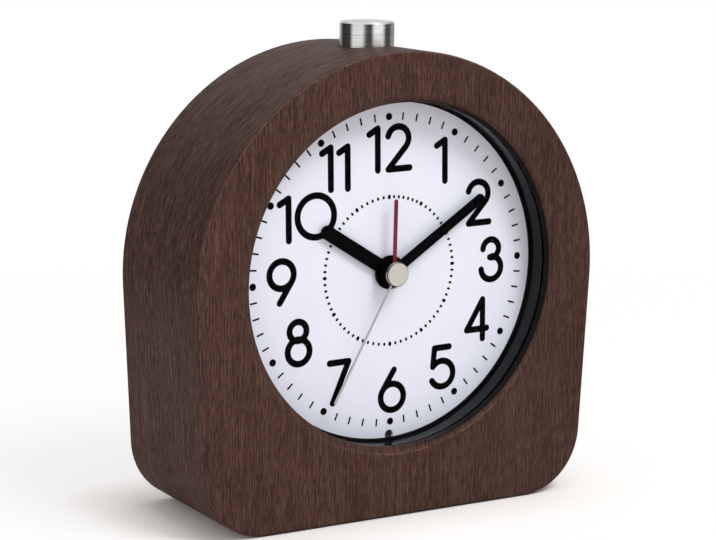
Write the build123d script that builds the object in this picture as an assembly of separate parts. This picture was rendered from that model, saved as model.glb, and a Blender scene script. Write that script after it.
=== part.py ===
"""Wooden desk clock: an arched wood case with a round dial, an alarm, and a snooze button on its crest.

Millimetres. +X is to the right as seen from the front, +Y goes to the back, +Z is up.
The origin is the middle of the base. Depths are measured from the case's front face towards
the back, and heights on the dial from the dial's axis, unless a name says otherwise.
"""
import os
from math import acos, cos, degrees, pi, radians, sin, tan

from build123d import *

# Case
case_width = 100
case_height = 102.2
case_depth = 37
side_lean = 2.8             # degrees that each side leans in towards the base
base_corner_radius = 14.8
edge_round = 0.8
dial_height = 53.5          # height of the dial's axis above the base
lip_radius = 37.7           # opening of the wooden rim
rim_chamfer_width = 1.6
rim_chamfer_depth = 0.9
lip_depth = 1.4             # thickness of the wooden rim that holds the lens
seat_radius = 39.8          # bore behind the rim, which takes lens, ring and dial
cavity_radius = 42.5        # bore for the movement
recess_radius = 45.8        # shallow recess for the rear cover
cover_well_depth = 3.6      # how far the rear cover lies inside the case's back
overrun = 2                 # how far cuts run past the faces they open
half_turn = 180             # degrees

# Fits
seat_clearance = 0.15
cover_clearance = 0.3
running_clearance = 0.05    # radial, on every arbor and pivot
slide_clearance = 0.1
loose_clearance = 0.3

# Lens, ring and dial
lens_thickness = 1.0
ring_depth = 4.6
ring_inner_radius = 37.3    # of its thin foot, which frames the dial
ring_foot_thickness = 0.4
ring_wall_radius = 37.9
dial_thickness = 0.6
dial_hole_radius = 3.1
lamp_offset = 36.7          # the lamp is at six o'clock, half under the ring
lamp_side = 0.9             # how far it lies right of the dial's middle
lamp_dome_radius = 0.75
lamp_body_radius = 1.5
lamp_body_depth = 3.2
lamp_dome_height = 0.4
carrier_thickness = 1.6
carrier_flange_thickness = 1.2
carrier_flange_width = 3.2

# Hands. Each angle is clockwise from twelve o'clock, in degrees, as the clock stands at rest.
hour_hand_angle = 301.8
hour_hand_reach = 20.3
hour_hand_width = 3.1
hour_hub_radius = 3.75
minute_hand_angle = 56.6
minute_hand_reach = 28.2
minute_hand_root_width = 2.35
minute_hand_tip_width = 2.2
minute_hub_radius = 3.1
alarm_hand_angle = 0.6
alarm_hand_reach = 16.3
alarm_hand_width = 0.85
alarm_hub_radius = 2.3
second_hand_angle = 209.0
second_hand_reach = 31.3
second_hand_tail = 2.6
second_hand_width = 0.45
second_hub_radius = 1.7
second_cap_radius = 2.75
second_cap_round = 0.2
hand_thickness = 0.3
hour_hand_gap = 0.65        # from the dial to the hour hand
hand_step = 0.9             # from one hand's back to the next hand's back, towards the front
cap_thickness = 0.55
cap_bore_depth = 0.25

# Arbors and tubes about the dial's axis, from the inside out
second_arbor_radius = 0.5
alarm_tube_wall = 0.55
minute_tube_wall = 0.6
hour_tube_wall = 0.7

# Movement plates
plate_half_width = 27
plate_top = 28
plate_bottom = -10.9
plate_corner_radius = 4
front_plate_thickness = 1.0
back_plate_thickness = 1.2
pillar_radius = 2.2
pillar_x = 24.2
pillar_inset = 2.3          # from a plate's top or bottom edge to its pillars
pivot_setback = 0.4         # from a pivot's end to the outer face of its plate

# Wheel layers, from front to back: thickness of each, with one gap between them
layer_gap = 0.2
first_layer_gap = 0.3
last_layer_gap = 0.5
motion_layer_thickness = 0.8
cannon_layer_thickness = 0.7
centre_layer_thickness = 0.7
alarm_layer_thickness = 0.7
third_layer_thickness = 0.6
second_layer_thickness = 0.5
fifth_layer_thickness = 0.5

# Gear teeth
pressure_angle = 25
wheel_addendum_share = 0.8
dedendum_share = 1.15
tooth_share = 0.88          # of half the circular pitch: the rest is backlash
rotor_pinion_teeth = 12
fifth_wheel_teeth = 60
rotor_module = 0.2
fifth_pinion_teeth = 10
second_wheel_teeth = 60
second_module = 0.27
second_pinion_teeth = 12
third_wheel_teeth = 90
third_module = 0.24
third_pinion_teeth = 12
centre_wheel_teeth = 96
cannon_teeth = 12
minute_wheel_teeth = 36
cannon_module = 0.55
minute_pinion_teeth = 10
hour_wheel_teeth = 40
alarm_wheel_teeth = 48
alarm_pinion_teeth = 16
alarm_module = 0.4

# Where the wheels stand around the dial's axis, in degrees from +X towards +Z
third_direction = 90
fifth_direction = 45
rotor_direction = 20        # from the fifth wheel
minute_direction = 180
alarm_direction = 0

third_arbor_radius = 0.6
fifth_stud_radius = 0.5
fifth_wheel_retreat = 0.1   # gap between the fifth pinion's front end and the stud's end
rotor_arbor_radius = 0.4
setting_arbor_radius = 1.2

# Motor
motor_turn = -45            # the coil's direction, in degrees from +X towards +Z
magnet_radius = 2.6
magnet_thickness = 1.4
stator_air_gap = 0.4
stator_thickness = 1.0
stator_half_length = 9.5
stator_half_width = 2.6
stator_eye_radius = 4.2     # the round part about the rotor
stator_leg_width = 2.6
coil_offset = 9             # from the rotor's axis to the coil's axis
core_width = 3.2
core_thickness = 1.0
core_overlap = 1.2          # how far the core runs past the stator's legs
bobbin_tube_radius = 2.0
bobbin_flange_radius = 2.45
bobbin_flange_thickness = 0.6
bobbin_half_length = 6.6
winding_radius = 2.35

# Circuit board, which hangs on the rear cover's posts above the movement, and what it carries
board_thickness = 1.2
board_half_width = 21
board_bottom = 29
board_top = 34
board_tab_half_width = 13
board_tab_top = 37.2
board_post_radius = 2.0
board_post_x = 18
board_post_z = 31.4
chip_radius = 2.8
chip_height = 1.3
chip_x = 1.5
chip_z = 33.2
crystal_radius = 1.5
crystal_length = 8
crystal_x = 8.8
crystal_z = 34.6
tact_half_width = 3
tact_half_depth = 2.9       # from the plunger's axis to the board
tact_bottom = 33.2
tact_top = 36.8
tact_button_radius = 1.0
tact_button_height = 1.15
tact_gap = 0.05             # left between plunger and switch at full travel

# Buzzer
buzzer_radius = 7
buzzer_depth = 7
buzzer_x = 25
buzzer_z = 15
buzzer_mouth_radius = 1.2
buzzer_mouth_depth = 1.0
buzzer_wall = 1.0
buzzer_wall_depth = 5.4
sound_hole_radius = 0.8
sound_hole_ring_radius = 3.6
sound_hole_count = 6

# Rear cover
cover_thickness = 2.0
cover_flange_clearance = 0.3
skirt_wall = 1.4
skirt_slot_half_width = 5
skirt_slot_room = 5.5       # from the plunger's axis to the back of the skirt's slot

# Battery, its bay and its door
battery_radius = 7.25
battery_can_length = 49.2
battery_nub_radius = 2.75
battery_nub_length = 1.3
battery_edge_round = 0.8
battery_z = -19.8
battery_clearance = 0.3
bay_wall = 1.1
contact_thickness = 0.4
contact_half_width = 5
contact_dimple_radius = 1.8
contact_dimple_height = 0.6
contact_spring_space = 4.0  # from the negative contact's plate to the battery
contact_spring_radius = 3.0
contact_wire_radius = 0.3
contact_spring_turns = 3
contact_tab_half_width = 1.0
contact_tab_rise = 1.6      # how far the tab stands above the bay
door_thickness = 1.3
door_ledge = 0.7            # rim all round the bay that the door rests on
door_clearance = 0.2
door_hinge_pin_radius = 0.4
door_pin_length = 0.8
door_relief = 0.4           # chamfer on the cover below the hinge, which the open door leans over
door_grip_count = 5
door_grip_pitch = 1.0
door_grip_half_length = 5
door_grip_depth = 0.3
door_grip_half_width = 0.25
door_grip_start = 1.6       # from the door's top edge to its first grip line

# Setting knobs
knob_radius = 5.2
knob_height = 2.9
knob_gap = 0.3              # from the cover to the knob
knob_flute_count = 20
knob_flute_radius = 0.45
knob_bore_floor = 0.8
knob_edge_round = 0.4

# Alarm switch
switch_x = -8.5
switch_z = 32.4
switch_travel = 3.5
switch_stem_half_width = 1.0
switch_button_half_width = 2.6
switch_button_half_height = 1.9
switch_button_thickness = 1.7
switch_ridge_count = 4
switch_ridge_depth = 0.35
switch_ridge_half_width = 0.25
switch_catch_thickness = 0.7
switch_catch_half_width = 2.2
switch_catch_half_height = 1.8
switch_body_half_width = 5
switch_body_half_height = 2.2
switch_body_depth_share = 0.5    # of the room between board and cover

# Snooze button
button_forward = 1.0        # how far its axis lies in front of the case's mid depth
button_radius = 6.05
button_clearance = 0.25
button_stand = 5.5          # above the crest
button_crown = 0.3          # rise of its slightly domed top
button_travel = 1.5
button_wall = 0.7
button_top_thickness = 1.2
button_edge_round = 0.35
button_well_depth = 4.0     # from the crest to the shelf in the wood
plunger_radius = 2.55
plunger_head_thickness = 1.4
plunger_head_clearance = 0.05
plunger_groove_depth = 0.5
clip_play = 0.4             # from the cavity's crown down to the clip
clip_thickness = 0.7
clip_radius = 4.0
clip_gap_half_width = 1.2
spring_radius = 4.2         # to the middle of the wire
spring_wire_radius = 0.3
spring_turns = 5

# Screws
rear_screw_radius = 0.9
rear_screw_head_radius = 1.5
rear_screw_head_height = 1.0
rear_screw_length = 8.0
rear_screw_ring_radius = 43.85
rear_screw_start = 45       # degrees
rear_screw_count = 4
movement_screw_radius = 0.9
movement_screw_head_radius = 1.8
movement_screw_head_height = 1.1
movement_screw_floor = 0.4  # wood of the carrier left in front of each screw
board_screw_radius = 0.9
board_screw_head_radius = 1.7
board_screw_head_height = 1.0
board_screw_length = 3.2
screw_hole_clearance = 0.15
screw_slot_half_width = 0.25
screw_slot_depth = 0.45

# Alarm contact
alarm_contact_z = -9.3
alarm_contact_half_width = 0.6
alarm_contact_thickness = 0.12
alarm_contact_gap = 0.04
alarm_contact_reach = 3.0   # how far it goes past the dial's axis
alarm_post_x = 17.5
alarm_post_radius = 1.4

# Leads. Each route is of (x, share of the way back, height from the dial's axis).
battery_lead_radius = 0.5
battery_lead_end_x = 12.8
battery_lead_route = [(27, 0.2, -1), (24, 1, 10), (12.8, 1, 22)]     # from the bay to the board
thin_lead_radius = 0.35
lamp_lead_offset = 0.75     # of each wire from the lamp's middle
lamp_lead_spacing = 1.1
lamp_lead_level_share = 0.6    # between the carrier and the battery bay
lamp_lead_route = [         # from that level to the board
    (-5, 0, -35), (-14.5, 0, -32.5), (-23.5, 0, -26.5), (-30, 0, -18), (-33, 0.05, -7.5),
    (-33.2, 0.25, 3.5), (-30.5, 0.75, 13.5), (-22.5, 0.95, 21), (-15.6, 1, 26.5)]
lamp_lead_end_x = -15.3
buzzer_lead_starts = [(-4.5, 4.5), (-2.8, 5.6)]    # from the buzzer's middle
buzzer_lead_ends = [14.3, 15.3]
buzzer_lead_bend_z = 26.5
lead_end_z = 31
bend_share = 0.45           # of the shorter run beside a bend, taken by its arc

# Depths that follow from the sizes above
lens_front = lip_depth
lens_back = lens_front + lens_thickness
dial_front = lens_back + ring_depth
dial_back = dial_front + dial_thickness
carrier_back = dial_back + carrier_thickness
flange_back = carrier_back + carrier_flange_thickness
front_plate_back = carrier_back + front_plate_thickness

motion_front = front_plate_back + first_layer_gap
motion_back = motion_front + motion_layer_thickness
cannon_front = motion_back + layer_gap
cannon_back = cannon_front + cannon_layer_thickness
centre_front = cannon_back + layer_gap
centre_back = centre_front + centre_layer_thickness
alarm_front = centre_back + layer_gap
alarm_back = alarm_front + alarm_layer_thickness
third_front = alarm_back + layer_gap
third_back = third_front + third_layer_thickness
second_front = third_back + layer_gap
second_back = second_front + second_layer_thickness
fifth_front = second_back + layer_gap
fifth_back = fifth_front + fifth_layer_thickness
back_plate_front = fifth_back + last_layer_gap
back_plate_back = back_plate_front + back_plate_thickness
pivot_front = carrier_back + pivot_setback
pivot_back = back_plate_back - pivot_setback
movement_screw_end = dial_back + movement_screw_floor

button_depth = case_depth / 2 - button_forward
board_front = button_depth + tact_half_depth
board_back = board_front + board_thickness
cover_back = case_depth - cover_well_depth
cover_front = cover_back - cover_thickness
door_back = cover_back
door_front = door_back - door_thickness
door_seat = door_front - running_clearance
battery_axis_depth = door_seat - battery_clearance - battery_radius
bay_floor_back = battery_axis_depth - battery_radius - battery_clearance
bay_floor_front = bay_floor_back - bay_wall

hour_hand_back = dial_front - hour_hand_gap
minute_hand_back = hour_hand_back - hand_step
alarm_hand_back = minute_hand_back - hand_step
second_hand_back = alarm_hand_back - hand_step
second_hand_front = second_hand_back - hand_thickness
second_arbor_front = second_hand_front - cap_bore_depth
cap_front = second_hand_front - cap_thickness

switch_body_back = board_back + switch_body_depth_share * (cover_front - board_back)

# Heights about the snooze button
button_top = case_height + button_stand
button_underside = button_top - button_top_thickness
spring_foot = case_height - button_well_depth
button_skirt_bottom = spring_foot + button_travel + slide_clearance
plunger_head_bottom = button_underside - plunger_head_thickness
plunger_bottom = dial_height + tact_top + tact_button_height + tact_gap + button_travel
clip_top = dial_height + cavity_radius - clip_play

# Radii that follow
stack_radius = seat_radius - seat_clearance
skirt_radius = cavity_radius - cover_clearance
cover_radius = recess_radius - cover_flange_clearance
alarm_tube_bore = second_arbor_radius + running_clearance
alarm_tube_radius = alarm_tube_bore + alarm_tube_wall
minute_tube_bore = alarm_tube_radius + running_clearance
minute_tube_radius = minute_tube_bore + minute_tube_wall
hour_tube_bore = minute_tube_radius + running_clearance
hour_tube_radius = hour_tube_bore + hour_tube_wall


def polar(radius, angle):
    """A point at an angle in degrees from +X towards +Z, seen from the front."""
    return (radius * cos(radians(angle)), radius * sin(radians(angle)))


def mesh_distance(teeth_a, teeth_b, module):
    return (teeth_a + teeth_b) * module / 2


# Wheel places, as (x, z) from the dial's axis
third_distance = mesh_distance(second_pinion_teeth, third_wheel_teeth, third_module)
third_place = polar(third_distance, third_direction)
centre_module = 2 * third_distance / (third_pinion_teeth + centre_wheel_teeth)
fifth_place = polar(mesh_distance(fifth_pinion_teeth, second_wheel_teeth, second_module), fifth_direction)
rotor_step = polar(mesh_distance(rotor_pinion_teeth, fifth_wheel_teeth, rotor_module), rotor_direction)
rotor_place = (fifth_place[0] + rotor_step[0], fifth_place[1] + rotor_step[1])
minute_distance = mesh_distance(cannon_teeth, minute_wheel_teeth, cannon_module)
minute_place = polar(minute_distance, minute_direction)
motion_module = 2 * minute_distance / (minute_pinion_teeth + hour_wheel_teeth)
alarm_place = polar(mesh_distance(alarm_wheel_teeth, alarm_pinion_teeth, alarm_module), alarm_direction)
axis_place = (0, 0)
arbors = [(third_place, third_arbor_radius), (rotor_place, rotor_arbor_radius),
          (minute_place, setting_arbor_radius), (alarm_place, setting_arbor_radius)]

pillar_places = [
    (side * pillar_x, height)
    for side in (-1, 1)
    for height in (plate_bottom + pillar_inset, plate_top - pillar_inset)
]
board_post_places = [(side * board_post_x, board_post_z) for side in (-1, 1)]
rear_screw_places = [
    polar(rear_screw_ring_radius, rear_screw_start + turn * 360 / rear_screw_count)
    for turn in range(rear_screw_count)
]


# Helpers

def front_plane(depth):
    """The plane at a depth behind the front face, facing the front, centred on the dial's axis."""
    return Plane(origin=(0, depth - case_depth / 2, dial_height), x_dir=(1, 0, 0), z_dir=(0, -1, 0))


def slab(outline, front, back):
    """A flat piece: an outline in front view, between two depths."""
    return extrude(front_plane(back) * outline, amount=back - front)


def at(place, outline):
    return Pos(place[0], place[1]) * outline


def disc(radius, front, back, place=axis_place):
    return slab(at(place, Circle(radius)), front, back)


def washer(outer, inner, front, back, place=axis_place):
    return slab(at(place, Circle(outer)) - at(place, Circle(inner)), front, back)


def hole(radius, front, back, place=axis_place):
    """What a bore takes away between two faces, running past both."""
    return disc(radius, front - overrun, back + overrun, place)


def block(left, right, bottom, top, front, back):
    middle = ((left + right) / 2, (bottom + top) / 2)
    return slab(at(middle, Rectangle(right - left, top - bottom)), front, back)


def turned(profile, place=axis_place):
    """A piece turned about a front-to-back axis, from a closed profile of (radius, depth) points."""
    x, z = place[0], dial_height + place[1]
    points = [(x + radius, depth - case_depth / 2, z) for radius, depth in profile]
    return revolve(make_face(Polyline(*points, close=True)), axis=Axis((x, 0, z), (0, 1, 0)))


def turned_upright(profile):
    """A piece turned about the snooze button's upright axis, from (radius, height) points."""
    y = button_depth - case_depth / 2
    points = [(radius, y, height) for radius, height in profile]
    return revolve(make_face(Polyline(*points, close=True)), axis=Axis((0, y, 0), (0, 0, 1)))


def along_x(outline, left, right):
    """A bar along X, from an outline in (depth, height from the dial's axis)."""
    plane = Plane(origin=(left, -case_depth / 2, dial_height), x_dir=(0, 1, 0), z_dir=(1, 0, 0))
    return extrude(plane * outline, amount=right - left)


def x_bar(radius, left, right, depth, z):
    """A round bar along X between two ends."""
    return along_x(at((depth, z), Circle(radius)), left, right)


def screw(place, seat, length, radius, head_radius, head_height, way=1):
    """A slotted screw whose head rests on the seat. With way -1 it is driven from the front."""
    end = seat - way * length
    head_end = seat + way * head_height
    body = turned([(0, end), (radius, end), (radius, seat), (head_radius, seat), (head_radius, head_end),
                   (0, head_end)], place)
    slot = at(place, Rectangle(2 * (head_radius + overrun), 2 * screw_slot_half_width))
    edges = sorted([head_end - way * screw_slot_depth, head_end + way * overrun])
    return body - slab(slot, *edges)


def involute(angle):
    return tan(angle) - angle


def gear_outline(teeth, module, phase, bore_radius=0):
    """An involute gear seen from the front, with a tooth's middle at the phase, in degrees."""
    pitch_radius = teeth * module / 2
    pressure = radians(pressure_angle)
    base_radius = pitch_radius * cos(pressure)
    tip_radius = pitch_radius + wheel_addendum_share * module
    root_radius = pitch_radius - dedendum_share * module
    foot_radius = max(root_radius, base_radius)
    middle_radius = (foot_radius + tip_radius) / 2

    def half_tooth(radius):
        at_pitch = tooth_share * pi / teeth / 2
        return degrees(at_pitch + involute(pressure) - involute(acos(base_radius / radius)))

    edges = []
    for tooth in range(teeth):
        middle = phase + tooth * 360 / teeth
        foot, half, tip = half_tooth(foot_radius), half_tooth(middle_radius), half_tooth(tip_radius)
        rising = [polar(foot_radius, middle - foot), polar(middle_radius, middle - half),
                  polar(tip_radius, middle - tip)]
        falling = [polar(tip_radius, middle + tip), polar(middle_radius, middle + half),
                   polar(foot_radius, middle + foot)]
        root_start = polar(root_radius, middle - foot)
        root_end = polar(root_radius, middle + foot)
        next_root = polar(root_radius, middle + 360 / teeth - foot)
        if root_radius < foot_radius:
            edges.append(Line(root_start, rising[0]))
        edges.append(ThreePointArc(*rising))
        edges.append(Line(rising[2], falling[0]))
        edges.append(ThreePointArc(*falling))
        if root_radius < foot_radius:
            edges.append(Line(falling[2], root_end))
        edges.append(Line(root_end, next_root))
    outline = make_face(Wire(edges))
    return outline - Circle(bore_radius) if bore_radius else outline


def gear(teeth, module, phase, front, back, place=axis_place, bore_radius=0):
    return slab(at(place, gear_outline(teeth, module, phase, bore_radius)), front, back)


def mesh_phase(phase_a, teeth_a, teeth_b, direction):
    """The phase of gear B that meshes with gear A, whose centre lies in a direction from A's."""
    lag = (direction - phase_a) % (360 / teeth_a)
    return direction + half_turn + (lag * teeth_a + half_turn) / teeth_b


def helix_point(radius, pitch, angle):
    """A point and direction on a helix that climbs +Z, at an angle in radians."""
    point = Vector(radius * cos(angle), radius * sin(angle), pitch * angle / (2 * pi))
    return point, Vector(-radius * sin(angle), radius * cos(angle), pitch / (2 * pi)).normalized()


def biarc(start, start_direction, end, end_direction):
    """Two tangent arcs from one point to another, leaving and arriving in given directions."""
    chord = end - start
    turn = start_direction + end_direction
    spread = 2 * (1 - start_direction.dot(end_direction))
    reach = (-chord.dot(turn) + (chord.dot(turn) ** 2 + spread * chord.dot(chord)) ** 0.5) / spread
    joint = (start + end + (start_direction - end_direction) * reach) / 2
    return [TangentArc(start, joint, tangent=start_direction),
            TangentArc(joint, end, tangent=(joint - start).normalized() * 2
                       * (joint - start).normalized().dot(start_direction) - start_direction)]


def coil(radius, wire_radius, length, turns):
    """An open helical spring along +Z from the origin, of one unbroken wire."""
    rise = length - 2 * wire_radius
    pitch = rise / turns
    steps = turns * 4
    edges = []
    for step in range(steps):
        start, start_direction = helix_point(radius, pitch, 2 * pi * step / 4)
        end, end_direction = helix_point(radius, pitch, 2 * pi * (step + 1) / 4)
        edges += biarc(start, start_direction, end, end_direction)
    path = Wire(edges)
    section = Plane(path @ 0, z_dir=path % 0) * Circle(wire_radius)
    print(f"coil of radius {radius}: gap between turns {pitch - 2 * wire_radius:.2f} mm")
    return Pos(0, 0, wire_radius) * sweep(section, path=path)


def lead(points, radius):
    """A wire of round section through points (x, depth, height from the dial's axis)."""
    corners = [Vector(x, depth - case_depth / 2, dial_height + z) for x, depth, z in points]
    radii = []
    for before, here, after in zip(corners, corners[1:], corners[2:]):
        run = min((here - before).length, (after - here).length)
        turn = (here - before).get_angle(after - here)
        radii.append(bend_share * run / tan(radians(turn) / 2))
    print(f"lead of radius {radius}: tightest bend {min(radii):.1f} mm")
    path = FilletPolyline(*corners, radius=radii)
    return sweep(Plane(path @ 0, z_dir=path % 0) * Circle(radius), path=path)


# Case

def case_outline():
    """The arch with sides that lean in towards the base, and rounded lower corners."""
    lean = radians(side_lean)
    arch_radius = case_width / 2
    crest_z = case_height - dial_height
    shoulder_x = arch_radius * cos(lean)
    shoulder_z = crest_z - arch_radius * (1 + sin(lean))
    base_x = shoulder_x - (shoulder_z + dial_height) * tan(lean)
    arch = ThreePointArc((shoulder_x, shoulder_z), (0, crest_z), (-shoulder_x, shoulder_z))
    sides = Polyline((-shoulder_x, shoulder_z), (-base_x, -dial_height),
                     (base_x, -dial_height), (shoulder_x, shoulder_z))
    outline = make_face(Wire([arch, *sides.edges()]))
    return fillet(outline.vertices().sort_by(Axis.Y)[:2], base_corner_radius)


def wood_case():
    body = slab(case_outline(), 0, case_depth)
    rims = body.faces().sort_by(Axis.Y)
    body = fillet(rims[0].edges() + rims[-1].edges(), edge_round)
    rim_radius = lip_radius + rim_chamfer_width
    hollow = turned([
        (0, -overrun), (rim_radius, -overrun), (rim_radius, 0), (lip_radius, rim_chamfer_depth),
        (lip_radius, lip_depth), (seat_radius, lip_depth), (seat_radius, carrier_back),
        (cavity_radius, carrier_back), (cavity_radius, cover_front), (recess_radius, cover_front),
        (recess_radius, case_depth + overrun), (0, case_depth + overrun)])
    well_radius = button_radius + button_clearance
    stem_hole_radius = plunger_radius + slide_clearance
    well = turned_upright([
        (0, dial_height), (stem_hole_radius, dial_height), (stem_hole_radius, spring_foot),
        (well_radius, spring_foot), (well_radius, case_height + overrun), (0, case_height + overrun)])
    body = body - hollow - well
    for place in rear_screw_places:
        body -= disc(rear_screw_radius, cover_back - rear_screw_length, cover_front + overrun, place)
    return body


# Lens, ring, dial and carrier

def lens():
    return disc(stack_radius, lens_front, lens_back)


def dial_ring():
    """The glossy wall between lens and dial, with a thin foot on the dial."""
    wall = washer(stack_radius, ring_wall_radius, lens_back, dial_front)
    return wall + washer(stack_radius, ring_inner_radius, dial_front - ring_foot_thickness, dial_front)


def dial():
    plate = washer(stack_radius, dial_hole_radius, dial_front, dial_back)
    return plate - disc(lamp_dome_radius + loose_clearance, 0, carrier_back, (lamp_side, -lamp_offset))


def dial_carrier():
    """The moulded disc behind the dial, with a flange that stops on the step in the case."""
    body = washer(stack_radius, dial_hole_radius, dial_back, carrier_back)
    body += washer(skirt_radius, skirt_radius - carrier_flange_width, carrier_back, flange_back)
    body -= disc(lamp_body_radius + slide_clearance, dial_back - overrun, flange_back + overrun,
                 (lamp_side, -lamp_offset))
    for place in pillar_places:
        body -= disc(movement_screw_radius, movement_screw_end, carrier_back + overrun, place)
    return body


# Hands

def hand_outline(reach, root_width, tip_width, hub_radius, bore_radius, angle):
    """A hand seen from the front, pointing at an angle clockwise from twelve."""
    tip_centre = reach - tip_width / 2
    blade = make_hull((Pos(0, 0) * Circle(root_width / 2)).edges()
                      + (Pos(0, tip_centre) * Circle(tip_width / 2)).edges())
    return Rot(0, 0, -angle) * (blade + Circle(hub_radius) - Circle(bore_radius))


def hour_hand():
    outline = hand_outline(hour_hand_reach, hour_hand_width, hour_hand_width,
                           hour_hub_radius, hour_tube_radius, hour_hand_angle)
    return slab(outline, hour_hand_back - hand_thickness, hour_hand_back)


def minute_hand():
    outline = hand_outline(minute_hand_reach, minute_hand_root_width, minute_hand_tip_width,
                           minute_hub_radius, minute_tube_radius, minute_hand_angle)
    return slab(outline, minute_hand_back - hand_thickness, minute_hand_back)


def alarm_hand():
    outline = hand_outline(alarm_hand_reach, alarm_hand_width, alarm_hand_width,
                           alarm_hub_radius, alarm_tube_radius, alarm_hand_angle)
    return slab(outline, alarm_hand_back - hand_thickness, alarm_hand_back)


def second_hand():
    pointer = hand_outline(second_hand_reach, second_hand_width, second_hand_width,
                           second_hub_radius, second_arbor_radius, second_hand_angle)
    tail = hand_outline(second_hand_tail, second_hand_width, second_hand_width,
                        second_hub_radius, second_arbor_radius, second_hand_angle + half_turn)
    return slab(pointer + tail, second_hand_front, second_hand_back)


def second_hand_cap():
    cap = turned([
        (0, cap_front), (second_cap_radius - second_cap_round, cap_front),
        (second_cap_radius, cap_front + second_cap_round), (second_cap_radius, second_hand_front),
        (second_arbor_radius, second_hand_front), (second_arbor_radius, second_arbor_front),
        (0, second_arbor_front)])
    return cap


# Wheels about the dial's axis

def hour_wheel():
    tube = washer(hour_tube_radius, hour_tube_bore, hour_hand_back - hand_thickness, motion_back)
    phase = mesh_phase(0, minute_pinion_teeth, hour_wheel_teeth, minute_direction + half_turn)
    return tube + gear(hour_wheel_teeth, motion_module, phase, motion_front, motion_back,
                       bore_radius=hour_tube_bore)


def cannon_pinion():
    tube = washer(minute_tube_radius, minute_tube_bore, minute_hand_back - hand_thickness, centre_back)
    return tube + gear(cannon_teeth, cannon_module, 0, cannon_front, cannon_back,
                       bore_radius=minute_tube_bore)


def centre_wheel():
    phase = mesh_phase(0, third_pinion_teeth, centre_wheel_teeth, third_direction + half_turn)
    return gear(centre_wheel_teeth, centre_module, phase, centre_front, centre_back,
                bore_radius=minute_tube_radius + running_clearance)


def alarm_wheel():
    tube = washer(alarm_tube_radius, alarm_tube_bore, alarm_hand_back - hand_thickness, alarm_back)
    return tube + gear(alarm_wheel_teeth, alarm_module, 0, alarm_front, alarm_back,
                       bore_radius=alarm_tube_bore)


def second_wheel():
    arbor = disc(second_arbor_radius, second_arbor_front, pivot_back)
    pinion = gear(second_pinion_teeth, third_module, 0, third_front, second_front)
    return arbor + pinion + gear(second_wheel_teeth, second_module, 0, second_front, second_back)


# Wheels beside the axis

def third_wheel():
    arbor = disc(third_arbor_radius, pivot_front, pivot_back, third_place)
    phase = mesh_phase(0, second_pinion_teeth, third_wheel_teeth, third_direction)
    pinion = gear(third_pinion_teeth, centre_module, 0, centre_front, centre_back, third_place)
    wheel = gear(third_wheel_teeth, third_module, phase, third_front, third_back, third_place)
    return arbor + pinion + wheel


def fifth_wheel():
    phase = mesh_phase(0, second_wheel_teeth, fifth_pinion_teeth, fifth_direction)
    bore = fifth_stud_radius + running_clearance
    pinion = gear(fifth_pinion_teeth, second_module, phase, second_front, fifth_front, fifth_place, bore)
    return pinion + gear(fifth_wheel_teeth, rotor_module, 0, fifth_front, fifth_back, fifth_place, bore)


def rotor():
    arbor = disc(rotor_arbor_radius, pivot_front, pivot_back, rotor_place)
    magnet_front = centre_front
    magnet = disc(magnet_radius, magnet_front, magnet_front + magnet_thickness, rotor_place)
    phase = mesh_phase(0, fifth_wheel_teeth, rotor_pinion_teeth, rotor_direction)
    return arbor + magnet + gear(rotor_pinion_teeth, rotor_module, phase, fifth_front, fifth_back,
                                 rotor_place)


def minute_wheel():
    """The wheel and pinion between cannon pinion and hour wheel, on the time knob's arbor."""
    arbor_back = cover_back + knob_gap + knob_height - knob_bore_floor
    arbor = disc(setting_arbor_radius, pivot_front, arbor_back, minute_place)
    phase = mesh_phase(0, cannon_teeth, minute_wheel_teeth, minute_direction)
    pinion = gear(minute_pinion_teeth, motion_module, 0, motion_front, cannon_front, minute_place)
    wheel = gear(minute_wheel_teeth, cannon_module, phase, cannon_front, cannon_back, minute_place)
    return arbor + pinion + wheel


def alarm_pinion():
    arbor_back = cover_back + knob_gap + knob_height - knob_bore_floor
    arbor = disc(setting_arbor_radius, pivot_front, arbor_back, alarm_place)
    phase = mesh_phase(0, alarm_wheel_teeth, alarm_pinion_teeth, alarm_direction)
    return arbor + gear(alarm_pinion_teeth, alarm_module, phase, alarm_front, alarm_back, alarm_place)


# Movement plates

def plate_outline():
    middle = (plate_top + plate_bottom) / 2
    height = plate_top - plate_bottom
    return at((0, middle), RectangleRounded(2 * plate_half_width, height, plate_corner_radius))


def front_plate():
    body = slab(plate_outline(), carrier_back, front_plate_back)
    for place in pillar_places:
        body += disc(pillar_radius, carrier_back, back_plate_front, place)
        body -= disc(movement_screw_radius + screw_hole_clearance, carrier_back - overrun,
                     back_plate_front + overrun, place)
    for place, radius in [(axis_place, hour_tube_radius)] + arbors:
        body -= hole(radius + running_clearance, carrier_back, front_plate_back, place)
    return body


def back_plate():
    """The rear plate, with the fifth wheel's stud and the alarm contact's post."""
    body = slab(plate_outline(), back_plate_front, back_plate_back)
    body += disc(fifth_stud_radius, second_front - fifth_wheel_retreat, back_plate_front, fifth_place)
    contact_back = alarm_back + alarm_contact_gap + alarm_contact_thickness
    body += disc(alarm_post_radius, contact_back, back_plate_front, (alarm_post_x, alarm_contact_z))
    for place in pillar_places:
        body -= disc(movement_screw_radius + screw_hole_clearance, back_plate_front - overrun,
                     back_plate_back + overrun, place)
    for place, radius in [(axis_place, second_arbor_radius)] + arbors:
        body -= hole(radius + running_clearance, back_plate_front, back_plate_back, place)
    return body


def alarm_contact():
    """A leaf that lies just behind the alarm wheel's rim, held on its post."""
    front = alarm_back + alarm_contact_gap
    back = front + alarm_contact_thickness
    leaf = block(-alarm_contact_reach, alarm_post_x, alarm_contact_z - alarm_contact_half_width,
                 alarm_contact_z + alarm_contact_half_width, front, back)
    return leaf + disc(alarm_post_radius, front, back, (alarm_post_x, alarm_contact_z))


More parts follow.
